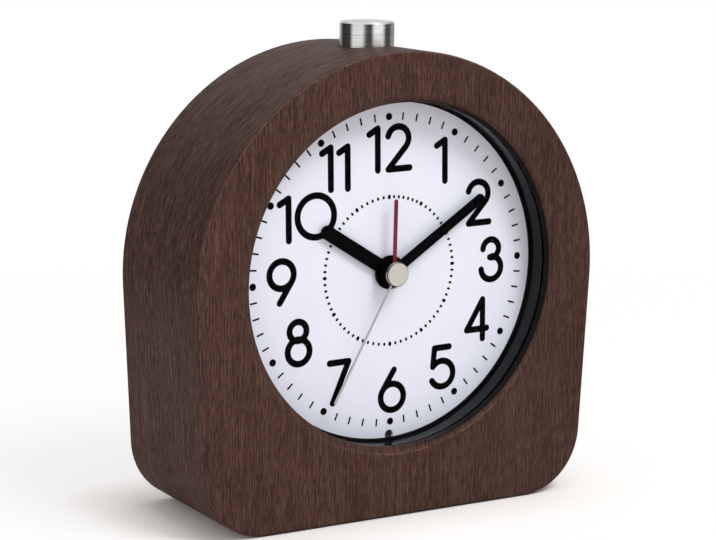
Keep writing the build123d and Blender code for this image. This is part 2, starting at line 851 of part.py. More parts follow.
# Motor, built along its coil and then turned and placed beside the rotor

def motor_slab(outline, front, back):
    return slab(at(rotor_place, Rot(0, 0, motor_turn) * outline), front, back)


def stator():
    plate = Rectangle(2 * stator_half_length, 2 * stator_half_width) + Circle(stator_eye_radius)
    leg_length = coil_offset + core_width / 2
    for side in (-1, 1):
        leg_x = side * (stator_half_length - stator_leg_width / 2)
        plate += at((leg_x, leg_length / 2), Rectangle(stator_leg_width, leg_length))
    plate -= Circle(magnet_radius + stator_air_gap)
    return motor_slab(plate, centre_front + layer_gap, centre_front + layer_gap + stator_thickness)


core_front = centre_front + layer_gap + stator_thickness
core_middle = core_front + core_thickness / 2


def coil_core():
    bar = at((0, coil_offset), Rectangle(2 * (stator_half_length + core_overlap), core_width))
    return motor_slab(bar, core_front, core_front + core_thickness)


def along_coil(radius, half_length):
    """A round bar along the coil's axis, centred on it."""
    bar = Pos(0, coil_offset, 0) * Rot(0, 90, 0) * Cylinder(radius, 2 * half_length)
    return front_plane(core_middle) * at(rotor_place, Rot(0, 0, motor_turn) * bar)


def coil_bobbin():
    body = along_coil(bobbin_flange_radius, bobbin_half_length)
    waist = (along_coil(bobbin_flange_radius + overrun, bobbin_half_length - bobbin_flange_thickness)
             - along_coil(bobbin_tube_radius, bobbin_half_length))
    return body - waist - coil_core()


def coil_winding():
    half_length = bobbin_half_length - bobbin_flange_thickness
    return along_coil(winding_radius, half_length) - along_coil(bobbin_tube_radius, bobbin_half_length)


# Circuit board

def circuit_board():
    body = block(-board_half_width, board_half_width, board_bottom, board_top, board_front, board_back)
    body += block(-board_tab_half_width, board_tab_half_width, board_top, board_tab_top,
                  board_front, board_back)
    for place in board_post_places:
        body -= hole(board_screw_radius + screw_hole_clearance, board_front, board_back, place)
    return body


def controller_chip():
    """A low round blob of resin over the chip."""
    crown = chip_radius / 2
    return turned([(0, board_back), (chip_radius, board_back), (crown, board_back + chip_height),
                   (0, board_back + chip_height)], (chip_x, chip_z))


def quartz_crystal():
    can = front_plane(board_back + crystal_radius) * (
        Pos(crystal_x, crystal_z, 0) * Rot(0, 90, 0) * Cylinder(crystal_radius, crystal_length))
    return can


def snooze_switch():
    """The push switch under the plunger, on the board's front face."""
    body = block(-tact_half_width, tact_half_width, tact_bottom, tact_top,
                 button_depth - tact_half_depth, board_front)
    body_top = dial_height + tact_top
    tip_top = body_top + tact_button_height
    tip = turned_upright([(0, body_top), (tact_button_radius, body_top), (tact_button_radius, tip_top),
                          (0, tip_top)])
    return body + tip


def buzzer():
    front = cover_front - buzzer_depth
    body = disc(buzzer_radius, front, cover_front, (buzzer_x, buzzer_z))
    return body - disc(buzzer_mouth_radius, cover_front - buzzer_mouth_depth, cover_front + overrun,
                       (buzzer_x, buzzer_z))


def dial_lamp():
    """A small lamp that looks through the dial at six o'clock."""
    dome_front = dial_back - lamp_dome_height
    return turned([(0, dome_front), (lamp_dome_radius / 2, dome_front), (lamp_dome_radius, dial_back),
                   (lamp_body_radius, dial_back), (lamp_body_radius, dial_back + lamp_body_depth),
                   (0, dial_back + lamp_body_depth)], (lamp_side, -lamp_offset))


# Battery bay

bay_half_height = battery_radius + battery_clearance
bay_length = (battery_can_length + battery_nub_length + contact_spring_space
              + contact_dimple_height + 2 * contact_thickness)
bay_half_length = bay_length / 2
bay_top = battery_z + bay_half_height
bay_bottom = battery_z - bay_half_height
door_recess_half_length = bay_half_length + door_ledge
door_recess_top = bay_top + door_ledge
door_recess_bottom = bay_bottom - door_ledge
negative_end = -bay_half_length + contact_thickness + contact_spring_space
hinge_z = door_recess_bottom + door_clearance + door_thickness / 2
hinge_depth = (door_front + door_back) / 2


def rear_cover():
    """The moulded back: a flange, a skirt that clamps the dial, the battery bay and the openings."""
    body = disc(cover_radius, cover_front, cover_back)
    body += washer(skirt_radius, skirt_radius - skirt_wall, flange_back, cover_front)
    body -= block(-skirt_slot_half_width, skirt_slot_half_width, 0, cavity_radius + overrun,
                  flange_back - overrun, button_depth + skirt_slot_room)
    body += block(-bay_half_length - bay_wall, bay_half_length + bay_wall, bay_bottom - bay_wall,
                  bay_top + bay_wall, bay_floor_front, cover_front) & disc(skirt_radius, 0, case_depth)
    body += washer(buzzer_radius + slide_clearance + buzzer_wall, buzzer_radius + slide_clearance,
                   cover_front - buzzer_wall_depth, cover_front, (buzzer_x, buzzer_z))
    body -= block(-bay_half_length, bay_half_length, bay_bottom, bay_top, bay_floor_back, case_depth)
    body -= block(-door_recess_half_length, door_recess_half_length, door_recess_bottom, door_recess_top,
                  door_seat, case_depth)
    relief = Polygon((cover_back - 2 * door_relief, door_recess_bottom + door_relief),
                     (cover_back + door_relief, door_recess_bottom - 2 * door_relief),
                     (cover_back + door_relief, door_recess_bottom + door_relief), align=None)
    relief_half_length = door_recess_half_length - door_clearance / 2
    body -= along_x(relief, -relief_half_length, relief_half_length)
    for place in board_post_places:
        body += disc(board_post_radius, board_back, cover_front, place)
        body -= disc(board_screw_radius, board_back - overrun, board_front + board_screw_length, place)
    pin_hole_radius = door_hinge_pin_radius + running_clearance
    pin_hole_end = door_recess_half_length + door_pin_length
    body -= x_bar(pin_hole_radius, -pin_hole_end, pin_hole_end, hinge_depth, hinge_z)
    for place in (minute_place, alarm_place):
        body -= hole(setting_arbor_radius + running_clearance, cover_front, cover_back, place)
    for place in rear_screw_places:
        body -= hole(rear_screw_radius + screw_hole_clearance, cover_front, cover_back, place)
    body -= hole(sound_hole_radius, cover_front, cover_back, (buzzer_x, buzzer_z))
    for turn in range(sound_hole_count):
        x, z = polar(sound_hole_ring_radius, turn * 360 / sound_hole_count)
        body -= hole(sound_hole_radius, cover_front, cover_back, (buzzer_x + x, buzzer_z + z))
    slot_half_height = switch_stem_half_width + slide_clearance
    body -= block(switch_x - slot_half_height, switch_x + switch_travel + slot_half_height,
                  switch_z - slot_half_height, switch_z + slot_half_height,
                  cover_front - overrun, cover_back + overrun)
    for side in (-1, 1):
        tab_x = side * (bay_half_length - contact_thickness / 2)
        tab_room = contact_thickness / 2 + slide_clearance
        body -= block(tab_x - tab_room, tab_x + tab_room, bay_top - overrun, bay_top + bay_wall + overrun,
                      battery_axis_depth - contact_tab_half_width - slide_clearance,
                      battery_axis_depth + contact_tab_half_width + slide_clearance)
    return body


def battery_door():
    """The door over the bay. It turns on two pins at its lower edge, which is rounded about them."""
    half_length = door_recess_half_length - door_clearance
    top = door_recess_top - door_clearance
    body = block(-half_length, half_length, hinge_z, top, door_front, door_back)
    body += x_bar(door_thickness / 2, -half_length, half_length, hinge_depth, hinge_z)
    pin_end = door_recess_half_length + door_pin_length - slide_clearance
    body += x_bar(door_hinge_pin_radius, -pin_end, pin_end, hinge_depth, hinge_z)
    for line in range(door_grip_count):
        grip_z = top - door_grip_start - line * door_grip_pitch
        body -= block(-door_grip_half_length, door_grip_half_length, grip_z - door_grip_half_width,
                      grip_z + door_grip_half_width, door_back - door_grip_depth, door_back + overrun)
    return body


def battery():
    """A round cell with its raised positive end to the right, seen from the front."""
    nub_start = negative_end + battery_can_length
    can = x_bar(battery_radius, negative_end, nub_start, battery_axis_depth, battery_z)
    can = fillet(can.edges().filter_by(GeomType.CIRCLE), battery_edge_round)
    return can + x_bar(battery_nub_radius, nub_start - battery_edge_round, nub_start + battery_nub_length,
                       battery_axis_depth, battery_z)


def contact_plate(left):
    """A plate at one end of the bay, with a tab that passes up through the bay's wall."""
    right = left + contact_thickness
    plate = block(left, right, battery_z - contact_half_width, battery_z + contact_half_width,
                  battery_axis_depth - contact_half_width, battery_axis_depth + contact_half_width)
    return plate + block(left, right, battery_z, bay_top + bay_wall + contact_tab_rise,
                         battery_axis_depth - contact_tab_half_width,
                         battery_axis_depth + contact_tab_half_width)


def positive_contact():
    left = bay_half_length - contact_thickness
    dimple = x_bar(contact_dimple_radius, left - contact_dimple_height, left,
                   battery_axis_depth, battery_z)
    return contact_plate(left) + dimple


def negative_contact():
    plate_right = -bay_half_length + contact_thickness
    spring = coil(contact_spring_radius, contact_wire_radius, contact_spring_space, contact_spring_turns)
    plane = Plane(origin=(plate_right, battery_axis_depth - case_depth / 2, dial_height + battery_z),
                  x_dir=(0, 1, 0), z_dir=(1, 0, 0))
    return [contact_plate(-bay_half_length), plane * spring]


# Leads

def between(front, back, share):
    return front + (back - front) * share


def battery_leads():
    """A wire from each contact's tab up to the board, on whose back it ends."""
    tab_top = bay_top + bay_wall + contact_tab_rise
    tab_x = bay_half_length - contact_thickness / 2
    lie = board_back + battery_lead_radius
    wires = []
    for side in (-1, 1):
        points = [(side * tab_x, battery_axis_depth, tab_top)]
        for x, share, z in battery_lead_route:
            points.append((side * x, between(battery_axis_depth, lie, share), z))
        points.append((side * battery_lead_end_x, lie, lead_end_z))
        wires.append(lead(points, battery_lead_radius))
    return wires


def lamp_leads():
    """Two wires from the lamp round the movement to the board. The second runs inside the first."""
    level = between(carrier_back, bay_floor_front, lamp_lead_level_share)
    lie = board_back + thin_lead_radius
    wires = []
    for side in (-1, 1):
        inset = lamp_lead_spacing * (1 + side) / 2
        lamp_x = lamp_side + side * lamp_lead_offset
        points = [(lamp_x, dial_back + lamp_body_depth, -lamp_offset),
                  (lamp_x, dial_back + lamp_body_depth + lamp_lead_spacing * (3 + side) / 2, -lamp_offset)]
        for x, share, z in lamp_lead_route:
            inward = 1 - inset / (x * x + z * z) ** 0.5
            points.append((x * inward, between(level, lie, share), z * inward))
        points.append((lamp_lead_end_x + inset, lie, lead_end_z))
        wires.append(lead(points, thin_lead_radius))
    return wires


def buzzer_leads():
    """Two wires from the front of the buzzer up to the board."""
    lie = board_back + thin_lead_radius
    wires = []
    for (x, z), end_x in zip(buzzer_lead_starts, buzzer_lead_ends):
        start_x = buzzer_x + x
        start_z = buzzer_z + z
        points = [(start_x, cover_front - buzzer_depth, start_z), (start_x, lie, start_z),
                  (end_x, lie, buzzer_lead_bend_z), (end_x, lie, lead_end_z)]
        wires.append(lead(points, thin_lead_radius))
    return wires


# Knobs and alarm switch

def setting_knob(place):
    """A fluted knob pressed on the end of its arbor."""
    front = cover_back + knob_gap
    back = front + knob_height
    bore_end = back - knob_bore_floor
    body = turned([
        (setting_arbor_radius, front), (knob_radius, front), (knob_radius, back - knob_edge_round),
        (knob_radius - knob_edge_round, back), (0, back), (0, bore_end),
        (setting_arbor_radius, bore_end)], place)
    for flute in range(knob_flute_count):
        x, z = polar(knob_radius, flute * 360 / knob_flute_count)
        body -= disc(knob_flute_radius, front - overrun, back + overrun, (place[0] + x, place[1] + z))
    return body


def time_knob():
    return setting_knob(minute_place)


def alarm_knob():
    return setting_knob(alarm_place)


def alarm_switch_slider():
    """A ribbed button on a stem through the cover's slot, with a catch inside."""
    button_front = cover_back + slide_clearance
    button_back = button_front + switch_button_thickness
    catch_back = cover_front - slide_clearance
    stem_front = switch_body_back - switch_catch_thickness
    body = block(switch_x - switch_stem_half_width, switch_x + switch_stem_half_width,
                 switch_z - switch_stem_half_width, switch_z + switch_stem_half_width,
                 stem_front, button_front)
    body += block(switch_x - switch_button_half_width, switch_x + switch_button_half_width,
                  switch_z - switch_button_half_height, switch_z + switch_button_half_height,
                  button_front, button_back)
    body += block(switch_x - switch_catch_half_width, switch_x + switch_catch_half_width,
                  switch_z - switch_catch_half_height, switch_z + switch_catch_half_height,
                  catch_back - switch_catch_thickness, catch_back)
    pitch = 2 * switch_button_half_width / (switch_ridge_count + 1)
    for ridge in range(switch_ridge_count):
        groove_x = switch_x - switch_button_half_width + pitch * (ridge + 1)
        body -= block(groove_x - switch_ridge_half_width, groove_x + switch_ridge_half_width,
                      switch_z - switch_button_half_height - overrun,
                      switch_z + switch_button_half_height + overrun,
                      button_back - switch_ridge_depth, button_back + overrun)
    return body


def alarm_switch_body():
    """The switch on the board that the slider moves, open at the back for the slider's stem."""
    middle = switch_x + switch_travel / 2
    body = block(middle - switch_body_half_width, middle + switch_body_half_width,
                 switch_z - switch_body_half_height, switch_z + switch_body_half_height,
                 board_back, switch_body_back)
    room = switch_stem_half_width + slide_clearance
    pocket_front = switch_body_back - switch_catch_thickness - slide_clearance
    return body - block(switch_x - room, switch_x + switch_travel + room, switch_z - room, switch_z + room,
                        pocket_front, switch_body_back + overrun)


# Snooze button

def snooze_button():
    """The metal cap: a cup with a slightly domed top, which slides in the case's well."""
    y = button_depth - case_depth / 2
    inner = button_radius - button_wall
    flat_radius = button_radius - button_edge_round
    rim = button_top - button_crown
    crown = TangentArc((0, y, button_top), (flat_radius, y, rim), tangent=(1, 0, 0))
    cup = Polyline((flat_radius, y, rim), (button_radius, y, rim - button_edge_round),
                   (button_radius, y, button_skirt_bottom), (inner, y, button_skirt_bottom),
                   (inner, y, button_underside), (0, y, button_underside), (0, y, button_top))
    return revolve(make_face(Wire([crown, *cup.edges()])), axis=Axis((0, y, 0), (0, 0, 1)))


def snooze_plunger():
    """The stem and head under the metal cap, with a groove for its clip."""
    head_radius = button_radius - button_wall - plunger_head_clearance
    groove_radius = plunger_radius - plunger_groove_depth
    groove_bottom = clip_top - clip_thickness - running_clearance
    groove_top = clip_top + running_clearance
    return turned_upright([
        (0, plunger_bottom), (plunger_radius, plunger_bottom), (plunger_radius, groove_bottom),
        (groove_radius, groove_bottom), (groove_radius, groove_top), (plunger_radius, groove_top),
        (plunger_radius, plunger_head_bottom), (head_radius, plunger_head_bottom),
        (head_radius, button_underside), (0, button_underside)])


def snooze_clip():
    """The open clip that stops the plunger from leaving the case."""
    inner = plunger_radius - plunger_groove_depth + running_clearance
    ring = turned_upright([(inner, clip_top - clip_thickness), (clip_radius, clip_top - clip_thickness),
                           (clip_radius, clip_top), (inner, clip_top)])
    low = clip_top - clip_thickness - overrun - dial_height
    high = clip_top + overrun - dial_height
    return ring - block(-clip_gap_half_width, clip_gap_half_width, low, high, button_depth, case_depth)


def snooze_spring():
    wire = coil(spring_radius, spring_wire_radius, plunger_head_bottom - spring_foot, spring_turns)
    return Pos(0, button_depth - case_depth / 2, spring_foot) * wire


# Screws

def rear_screws():
    return [screw(place, cover_back, rear_screw_length, rear_screw_radius, rear_screw_head_radius,
                  rear_screw_head_height) for place in rear_screw_places]


def movement_screws():
    length = back_plate_back - dial_back - movement_screw_floor
    return [screw(place, back_plate_back, length, movement_screw_radius, movement_screw_head_radius,
                  movement_screw_head_height) for place in pillar_places]


def board_screws():
    return [screw(place, board_front, board_screw_length, board_screw_radius, board_screw_head_radius,
                  board_screw_head_height, way=-1) for place in board_post_places]


# Every piece, by the name of its node

NODES = {
    "wood_case": wood_case,
    "lens": lens,
    "dial_ring": dial_ring,
    "dial": dial,
    "dial_carrier": dial_carrier,
    "hour_hand": hour_hand,
    "minute_hand": minute_hand,
    "alarm_hand": alarm_hand,
    "second_hand": second_hand,
    "second_hand_cap": second_hand_cap,
    "hour_wheel": hour_wheel,
    "cannon_pinion": cannon_pinion,
    "centre_wheel": centre_wheel,
    "alarm_wheel": alarm_wheel,
    "second_wheel": second_wheel,
    "third_wheel": third_wheel,
    "fifth_wheel": fifth_wheel,
    "rotor": rotor,
    "minute_wheel": minute_wheel,
    "alarm_pinion": alarm_pinion,
    "front_plate": front_plate,
    "back_plate": back_plate,
    "alarm_contact": alarm_contact,
    "stator": stator,
    "coil_core": coil_core,
    "coil_bobbin": coil_bobbin,
    "coil_winding": coil_winding,
    "circuit_board": circuit_board,
    "controller_chip": controller_chip,
    "quartz_crystal": quartz_crystal,
    "snooze_switch": snooze_switch,
    "buzzer": buzzer,
    "dial_lamp": dial_lamp,
    "rear_cover": rear_cover,
    "battery_door": battery_door,
    "battery": battery,
    "positive_contact": positive_contact,
    "negative_contact": negative_contact,
    "battery_leads": battery_leads,
    "lamp_leads": lamp_leads,
    "buzzer_leads": buzzer_leads,
    "time_knob": time_knob,
    "alarm_knob": alarm_knob,
    "alarm_switch_slider": alarm_switch_slider,
    "alarm_switch_body": alarm_switch_body,
    "snooze_button": snooze_button,
    "snooze_plunger": snooze_plunger,
    "snooze_clip": snooze_clip,
    "snooze_spring": snooze_spring,
    "rear_screws": rear_screws,
    "movement_screws": movement_screws,
    "board_screws": board_screws,
}

os.makedirs("parts", exist_ok=True)
for name, make in NODES.items():
    piece = make()
    if isinstance(piece, list):
        piece = Compound(children=piece)
    export_step(piece, f"parts/{name}.step")
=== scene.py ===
"""Looks for the wooden desk clock: materials, the dial's print, small marks, light and the photo's camera."""
import math

import bmesh
import bpy
from mathutils import Matrix, Vector

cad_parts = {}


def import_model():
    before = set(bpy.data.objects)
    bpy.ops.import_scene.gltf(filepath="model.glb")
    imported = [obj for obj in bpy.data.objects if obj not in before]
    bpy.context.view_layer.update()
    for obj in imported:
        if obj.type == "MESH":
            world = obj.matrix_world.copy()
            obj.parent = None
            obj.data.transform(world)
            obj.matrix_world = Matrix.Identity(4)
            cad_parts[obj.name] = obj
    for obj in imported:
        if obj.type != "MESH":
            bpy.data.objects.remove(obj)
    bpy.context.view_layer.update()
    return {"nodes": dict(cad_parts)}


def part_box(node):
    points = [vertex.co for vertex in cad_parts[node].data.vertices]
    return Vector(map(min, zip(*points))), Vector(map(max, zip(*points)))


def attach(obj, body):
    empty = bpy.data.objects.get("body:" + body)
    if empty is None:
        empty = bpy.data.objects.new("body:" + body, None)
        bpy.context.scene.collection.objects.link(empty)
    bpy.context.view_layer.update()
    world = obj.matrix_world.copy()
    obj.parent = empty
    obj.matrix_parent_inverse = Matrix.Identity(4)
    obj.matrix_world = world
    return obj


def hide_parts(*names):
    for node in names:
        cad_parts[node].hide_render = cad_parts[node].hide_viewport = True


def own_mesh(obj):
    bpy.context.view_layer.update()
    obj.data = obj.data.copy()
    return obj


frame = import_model()

# Sizes and places are in millimetres, unless a name or a comment says otherwise.
MM = 0.001
AXIS_Z = 53.5          # height of the dial's axis
ARCH_Z = 52.2          # centre of the case's arch
ARCH_RADIUS = 50.0
BLACK = (0.0008, 0.0010, 0.0015)


# Node tools

def node(tree, kind, inputs=None, **settings):
    """Adds a node. Each input is a plain value or another node's socket."""
    made = tree.nodes.new("ShaderNode" + kind)
    for name, value in settings.items():
        setattr(made, name, value)
    for key, value in (inputs or {}).items():
        socket = made.inputs[key]
        if isinstance(value, bpy.types.NodeSocket):
            tree.links.new(value, socket)
        elif socket.type == "RGBA":
            socket.default_value = (*value[:3], 1)
        else:
            socket.default_value = value
    return made


def material(name, **values):
    """A new material. Values given here are the same all over the surface."""
    made = bpy.data.materials.new(name)
    made.use_nodes = True
    shader = made.node_tree.nodes["Principled BSDF"]
    for key, value in values.items():
        shader.inputs[key.replace("_", " ")].default_value = value
    return made, made.node_tree, shader


def join(tree, shader, **sockets):
    for key, socket in sockets.items():
        tree.links.new(socket, shader.inputs[key.replace("_", " ")])


def place(tree, stretch=(1, 1, 1), turn=(0, 0, 0)):
    """Object coordinates in millimetres, turned and then stretched."""
    where = node(tree, "TexCoord").outputs["Object"]
    if any(turn):
        where = node(tree, "Mapping", {"Vector": where, "Rotation": turn}).outputs["Vector"]
    return node(tree, "Mapping", {"Vector": where, "Scale": [s / MM for s in stretch]}).outputs["Vector"]


def split(tree, vector):
    return node(tree, "SeparateXYZ", {"Vector": vector}).outputs


def combine(tree, x, y, z):
    return node(tree, "CombineXYZ", {"X": x, "Y": y, "Z": z}).outputs["Vector"]


def noise(tree, where, scale=1.0, detail=3.0, roughness=0.6, wobble=0.0):
    made = node(tree, "TexNoise", {"Vector": where, "Scale": scale, "Detail": detail,
                                   "Roughness": roughness, "Distortion": wobble})
    return made.outputs["Fac"]


def ramp(tree, fac, *stops):
    """Colours along a factor: each stop is a position and a colour."""
    made = node(tree, "ValToRGB", {"Fac": fac})
    elements = made.color_ramp.elements
    elements.remove(elements[1])
    elements[0].position, elements[0].color = stops[0][0], (*stops[0][1], 1)
    for position, colour in stops[1:]:
        elements.new(position).color = (*colour, 1)
    return made.outputs["Color"]


def span(tree, value, low, high, start=0.0, end=1.0):
    """Goes from low to high while the value goes from start to end, and stays there outside them."""
    made = node(tree, "MapRange", {"Value": value, "From Min": start, "From Max": end,
                                   "To Min": low, "To Max": high})
    return made.outputs["Result"]


def calc(tree, operation, *values):
    return node(tree, "Math", dict(enumerate(values)), operation=operation).outputs[0]


def times(tree, first, second):
    return calc(tree, "MULTIPLY", first, second)


def larger(tree, first, second):
    return calc(tree, "MAXIMUM", first, second)


def distance(tree, across, up):
    return calc(tree, "SQRT", calc(tree, "ADD", times(tree, across, across), times(tree, up, up)))


def between(tree, value, low, high):
    """1 where the value lies between low and high, and otherwise 0."""
    return times(tree, calc(tree, "GREATER_THAN", value, low), calc(tree, "LESS_THAN", value, high))


def mix(tree, fac, first, second):
    return node(tree, "Mix", {0: fac, 6: first, 7: second}, data_type="RGBA").outputs[2]


def bump(tree, height, depth, strength=1.0):
    """A bump of the given depth in millimetres."""
    made = node(tree, "Bump", {"Height": height, "Distance": depth * MM, "Strength": strength})
    return made.outputs["Normal"]


def shade(colour, factor):
    return tuple(min(1.0, c * factor) for c in colour)


def srgb(*values):
    """A colour as read from a picture, in linear light."""
    return tuple(((v / 255 + 0.055) / 1.055) ** 2.4 if v > 10 else v / 255 / 12.92 for v in values)


def stain(*values):
    """A wood colour as read from the photo, less what its sheen adds."""
    return tuple(v * share for v, share in zip(srgb(*values), (0.84, 0.795, 0.79)))


# Materials. The limits given to span and ramp for a noise lie about its mean of 0.5.

def moulded(name, colour, grain=2.5, depth=0.012, rough=(0.42, 0.58), tone=0.12, **values):
    """Moulded plastic: a fine eroded grain, faint flow clouds, and a few scuffs that shine."""
    made, tree, shader = material(name, **values)
    where = place(tree)
    clouds = noise(tree, where, 0.12, 4)
    fine = noise(tree, where, grain, 2)
    base = ramp(tree, clouds, (0.3, shade(colour, 1 - tone)), (0.7, shade(colour, 1 + tone)))
    flecks = mix(tree, span(tree, fine, 0, 0.25, 0.45, 0.75), base, shade(colour, 1.35))
    scuffs = noise(tree, place(tree, (0.3, 0.3, 2.2), (0.4, 0.7, 0.2)), 0.6, 5, 0.7)
    join(tree, shader, Base_Color=flecks, Roughness=span(tree, scuffs, *rough, 0.35, 0.6),
         Normal=bump(tree, fine, depth))
    return made


def metal(name, colour, rough=(0.25, 0.4), stretch=(1, 1, 8), scale=1.5):
    """Worked metal: drawn or rolled lines, and slight tarnish in patches."""
    made, tree, shader = material(name, Metallic=1.0)
    lines = noise(tree, place(tree, stretch), scale, 3)
    patches = noise(tree, place(tree), 0.25, 4)
    tint = ramp(tree, patches, (0.3, shade(colour, 0.9)), (0.7, shade(colour, 1.05)))
    base = mix(tree, span(tree, lines, 0, 0.35, 0.4, 0.7), tint, shade(colour, 0.75))
    join(tree, shader, Base_Color=base, Roughness=span(tree, lines, *rough, 0.3, 0.7),
         Normal=bump(tree, lines, 0.004))
    return made


FRONT_FACING = 0.72        # a face that looks this squarely to the front or back has their grain
CHAMFER_EDGE_RADIUS = 39.3    # where the rim's chamfer meets the front
FRONT_SKIN_Y = -17.0       # the front's surface lies in front of this
LIP_BACK_Y = -15.0         # and the rim's lip in front of this
LIP_SHADE_RADII = (38.35, 38.6)    # where the painted shade on the lip's edge ends


def walnut():
    """Veneer: the grain runs up the front and back, and round the sides and top along the edge."""
    made, tree, shader = material("walnut_veneer", Specular_IOR_Level=0.1)
    x, y, z = split(tree, place(tree))
    facing = calc(tree, "ABSOLUTE", split(tree, node(tree, "TexCoord").outputs["Normal"])["Y"])
    is_front = calc(tree, "GREATER_THAN", facing, FRONT_FACING)
    above = calc(tree, "SUBTRACT", z, ARCH_Z)
    turned = times(tree, calc(tree, "ARCTAN2", x, larger(tree, above, 0.0)), ARCH_RADIUS)
    below = times(tree, calc(tree, "SIGN", x), calc(tree, "MINIMUM", above, 0.0))
    along = calc(tree, "SUBTRACT", turned, below)
    # Each face takes its own stretch of the noise. The sides' lines stand wider apart.
    front = combine(tree, x, z, times(tree, y, 0.1))
    side = combine(tree, calc(tree, "MULTIPLY_ADD", y, 0.56, 137.0), along, 60.0)
    grain = node(tree, "Mix", {0: is_front, 4: side, 5: front}, data_type="VECTOR").outputs[1]

    def streaks(across, lengthwise, detail=3, wobble=0.0):
        """Noise with so many waves to a millimetre across the grain and along it."""
        scaled = node(tree, "Mapping", {"Vector": grain, "Scale": (across, lengthwise, 1)})
        return noise(tree, scaled.outputs["Vector"], 1.0, detail, 0.6, wobble)

    figure = streaks(0.11, 0.008, 4, 0.5)
    bands = streaks(0.6, 0.02, 3)
    both = calc(tree, "ADD", streaks(5.6, 0.36, 4), streaks(6.4, 0.07, 3))
    fibres = calc(tree, "MULTIPLY_ADD", both, 0.68, -0.18)
    pore = span(tree, streaks(4.4, 0.42, 3), 0, 1, 0.55, 0.63)
    tone = ramp(tree, figure, (0.38, stain(76, 52, 45)), (0.5, stain(79, 57, 49)), (0.62, stain(83, 61, 52)))
    tone = mix(tree, span(tree, bands, 0, 0.3, 0.48, 0.66), tone, stain(92, 68, 56))
    tone = mix(tree, span(tree, bands, 0.28, 0, 0.34, 0.48), tone, stain(56, 35, 31))
    # The sides are seen at a slant, where fine lines fade, so their grain is stronger.
    strength = span(tree, is_front, 1.35, 1.0)
    light_fibre = times(tree, span(tree, fibres, 0, 0.68, 0.5, 0.64), strength)
    dark_fibre = times(tree, span(tree, fibres, 0.8, 0, 0.36, 0.5), strength)
    tone = mix(tree, light_fibre, tone, stain(108, 88, 78))
    tone = mix(tree, dark_fibre, tone, stain(44, 28, 24))
    # Painted shade: the front darkens a little to the right, where less light falls on it.
    painted_shade_right = span(tree, x, 0, 0.15, -10, 40)
    tone = mix(tree, times(tree, is_front, painted_shade_right), tone, stain(44, 28, 24))
    tone = mix(tree, times(tree, pore, 0.6), tone, stain(28, 17, 15))
    # A painted highlight runs along the edges, where the faces meet, and along the chamfer's edge at the
    # lower right.
    edge_highlight = times(tree, span(tree, facing, 0, 1, 0.5, 0.62), span(tree, facing, 1, 0, 0.68, 0.8))
    from_axis = calc(tree, "SUBTRACT", z, AXIS_Z)
    radius = distance(tree, x, from_axis)
    off_edge = calc(tree, "ABSOLUTE", calc(tree, "SUBTRACT", radius, CHAMFER_EDGE_RADIUS))
    line = times(tree, span(tree, off_edge, 0.6, 0, 0.05, 0.25), calc(tree, "LESS_THAN", y, FRONT_SKIN_Y))
    low_right = times(tree, span(tree, from_axis, 1, 0.15, -30, -15), span(tree, x, 0.15, 1, -20, -8))
    edge_highlight = larger(tree, edge_highlight, times(tree, line, low_right))
    patchy = span(tree, streaks(0.8, 0.3, 3), 0.05, 0.7, 0.42, 0.6)
    # Painted highlight on the edges, varied in patches.
    tone = mix(tree, times(tree, edge_highlight, patchy), tone, stain(140, 112, 96))
    # Painted shadow: the wood darkens in its lowest 0.8 mm, where the base meets the floor.
    tone = mix(tree, span(tree, z, 0.9, 0, 0.15, 0.8), tone, (0.004, 0.003, 0.0025))
    # Painted shade on the lip's edge, on the right, where the edge lies in shadow.
    lip = times(tree, span(tree, radius, 1, 0, *LIP_SHADE_RADII), calc(tree, "LESS_THAN", y, LIP_BACK_Y))
    lip = times(tree, lip, span(tree, x, 0, 1, -8, 18))
    tone = mix(tree, lip, tone, (0.004, 0.0034, 0.003))
    join(tree, shader, Base_Color=tone, Roughness=span(tree, bands, 0.42, 0.62, 0.3, 0.7),
         Normal=bump(tree, calc(tree, "SUBTRACT", fibres, pore), 0.03, 0.8))
    return made


def ring_gloss():
    made, tree, shader = material("ring_gloss", Specular_IOR_Level=0.16)
    cloud = noise(tree, place(tree), 0.08, 4)
    dust = noise(tree, place(tree), 4.0, 2)
    base = ramp(tree, cloud, (0.3, srgb(4, 6, 9)), (0.7, srgb(11, 14, 18)))
    base = mix(tree, span(tree, dust, 0, 0.3, 0.68, 0.74), base, srgb(40, 46, 50))
    join(tree, shader, Base_Color=base, Roughness=span(tree, cloud, 0.16, 0.28, 0.3, 0.7),
         Normal=bump(tree, cloud, 0.02, 0.3))
    return made


def clear_lens():
    """Clear glass: nearly all of it lets light through, and the rest is a faint reflection."""
    made, tree, shader = material("clear_glass", Metallic=1.0, Alpha=0.001)
    smudge = noise(tree, place(tree), 0.07, 5)
    join(tree, shader, Roughness=span(tree, smudge, 0.02, 0.09, 0.35, 0.7),
         Base_Color=ramp(tree, smudge, (0.3, (0.94, 0.97, 1.0)), (0.7, (1.0, 1.0, 1.0))))
    return made


def dial_paint():
    made, tree, shader = material("dial_paint", Specular_IOR_Level=0.3)
    fibre = noise(tree, place(tree), 6.0, 2)
    cloud = noise(tree, place(tree), 0.05, 3)
    base = ramp(tree, cloud, (0.3, (0.75, 0.805, 0.93)), (0.7, (0.78, 0.84, 0.96)))
    base = mix(tree, span(tree, fibre, 0, 0.1, 0.45, 0.7), base, (0.76, 0.78, 0.86))
    join(tree, shader, Base_Color=base, Roughness=span(tree, cloud, 0.45, 0.55, 0.3, 0.7),
         Normal=bump(tree, fibre, 0.003))
    return made


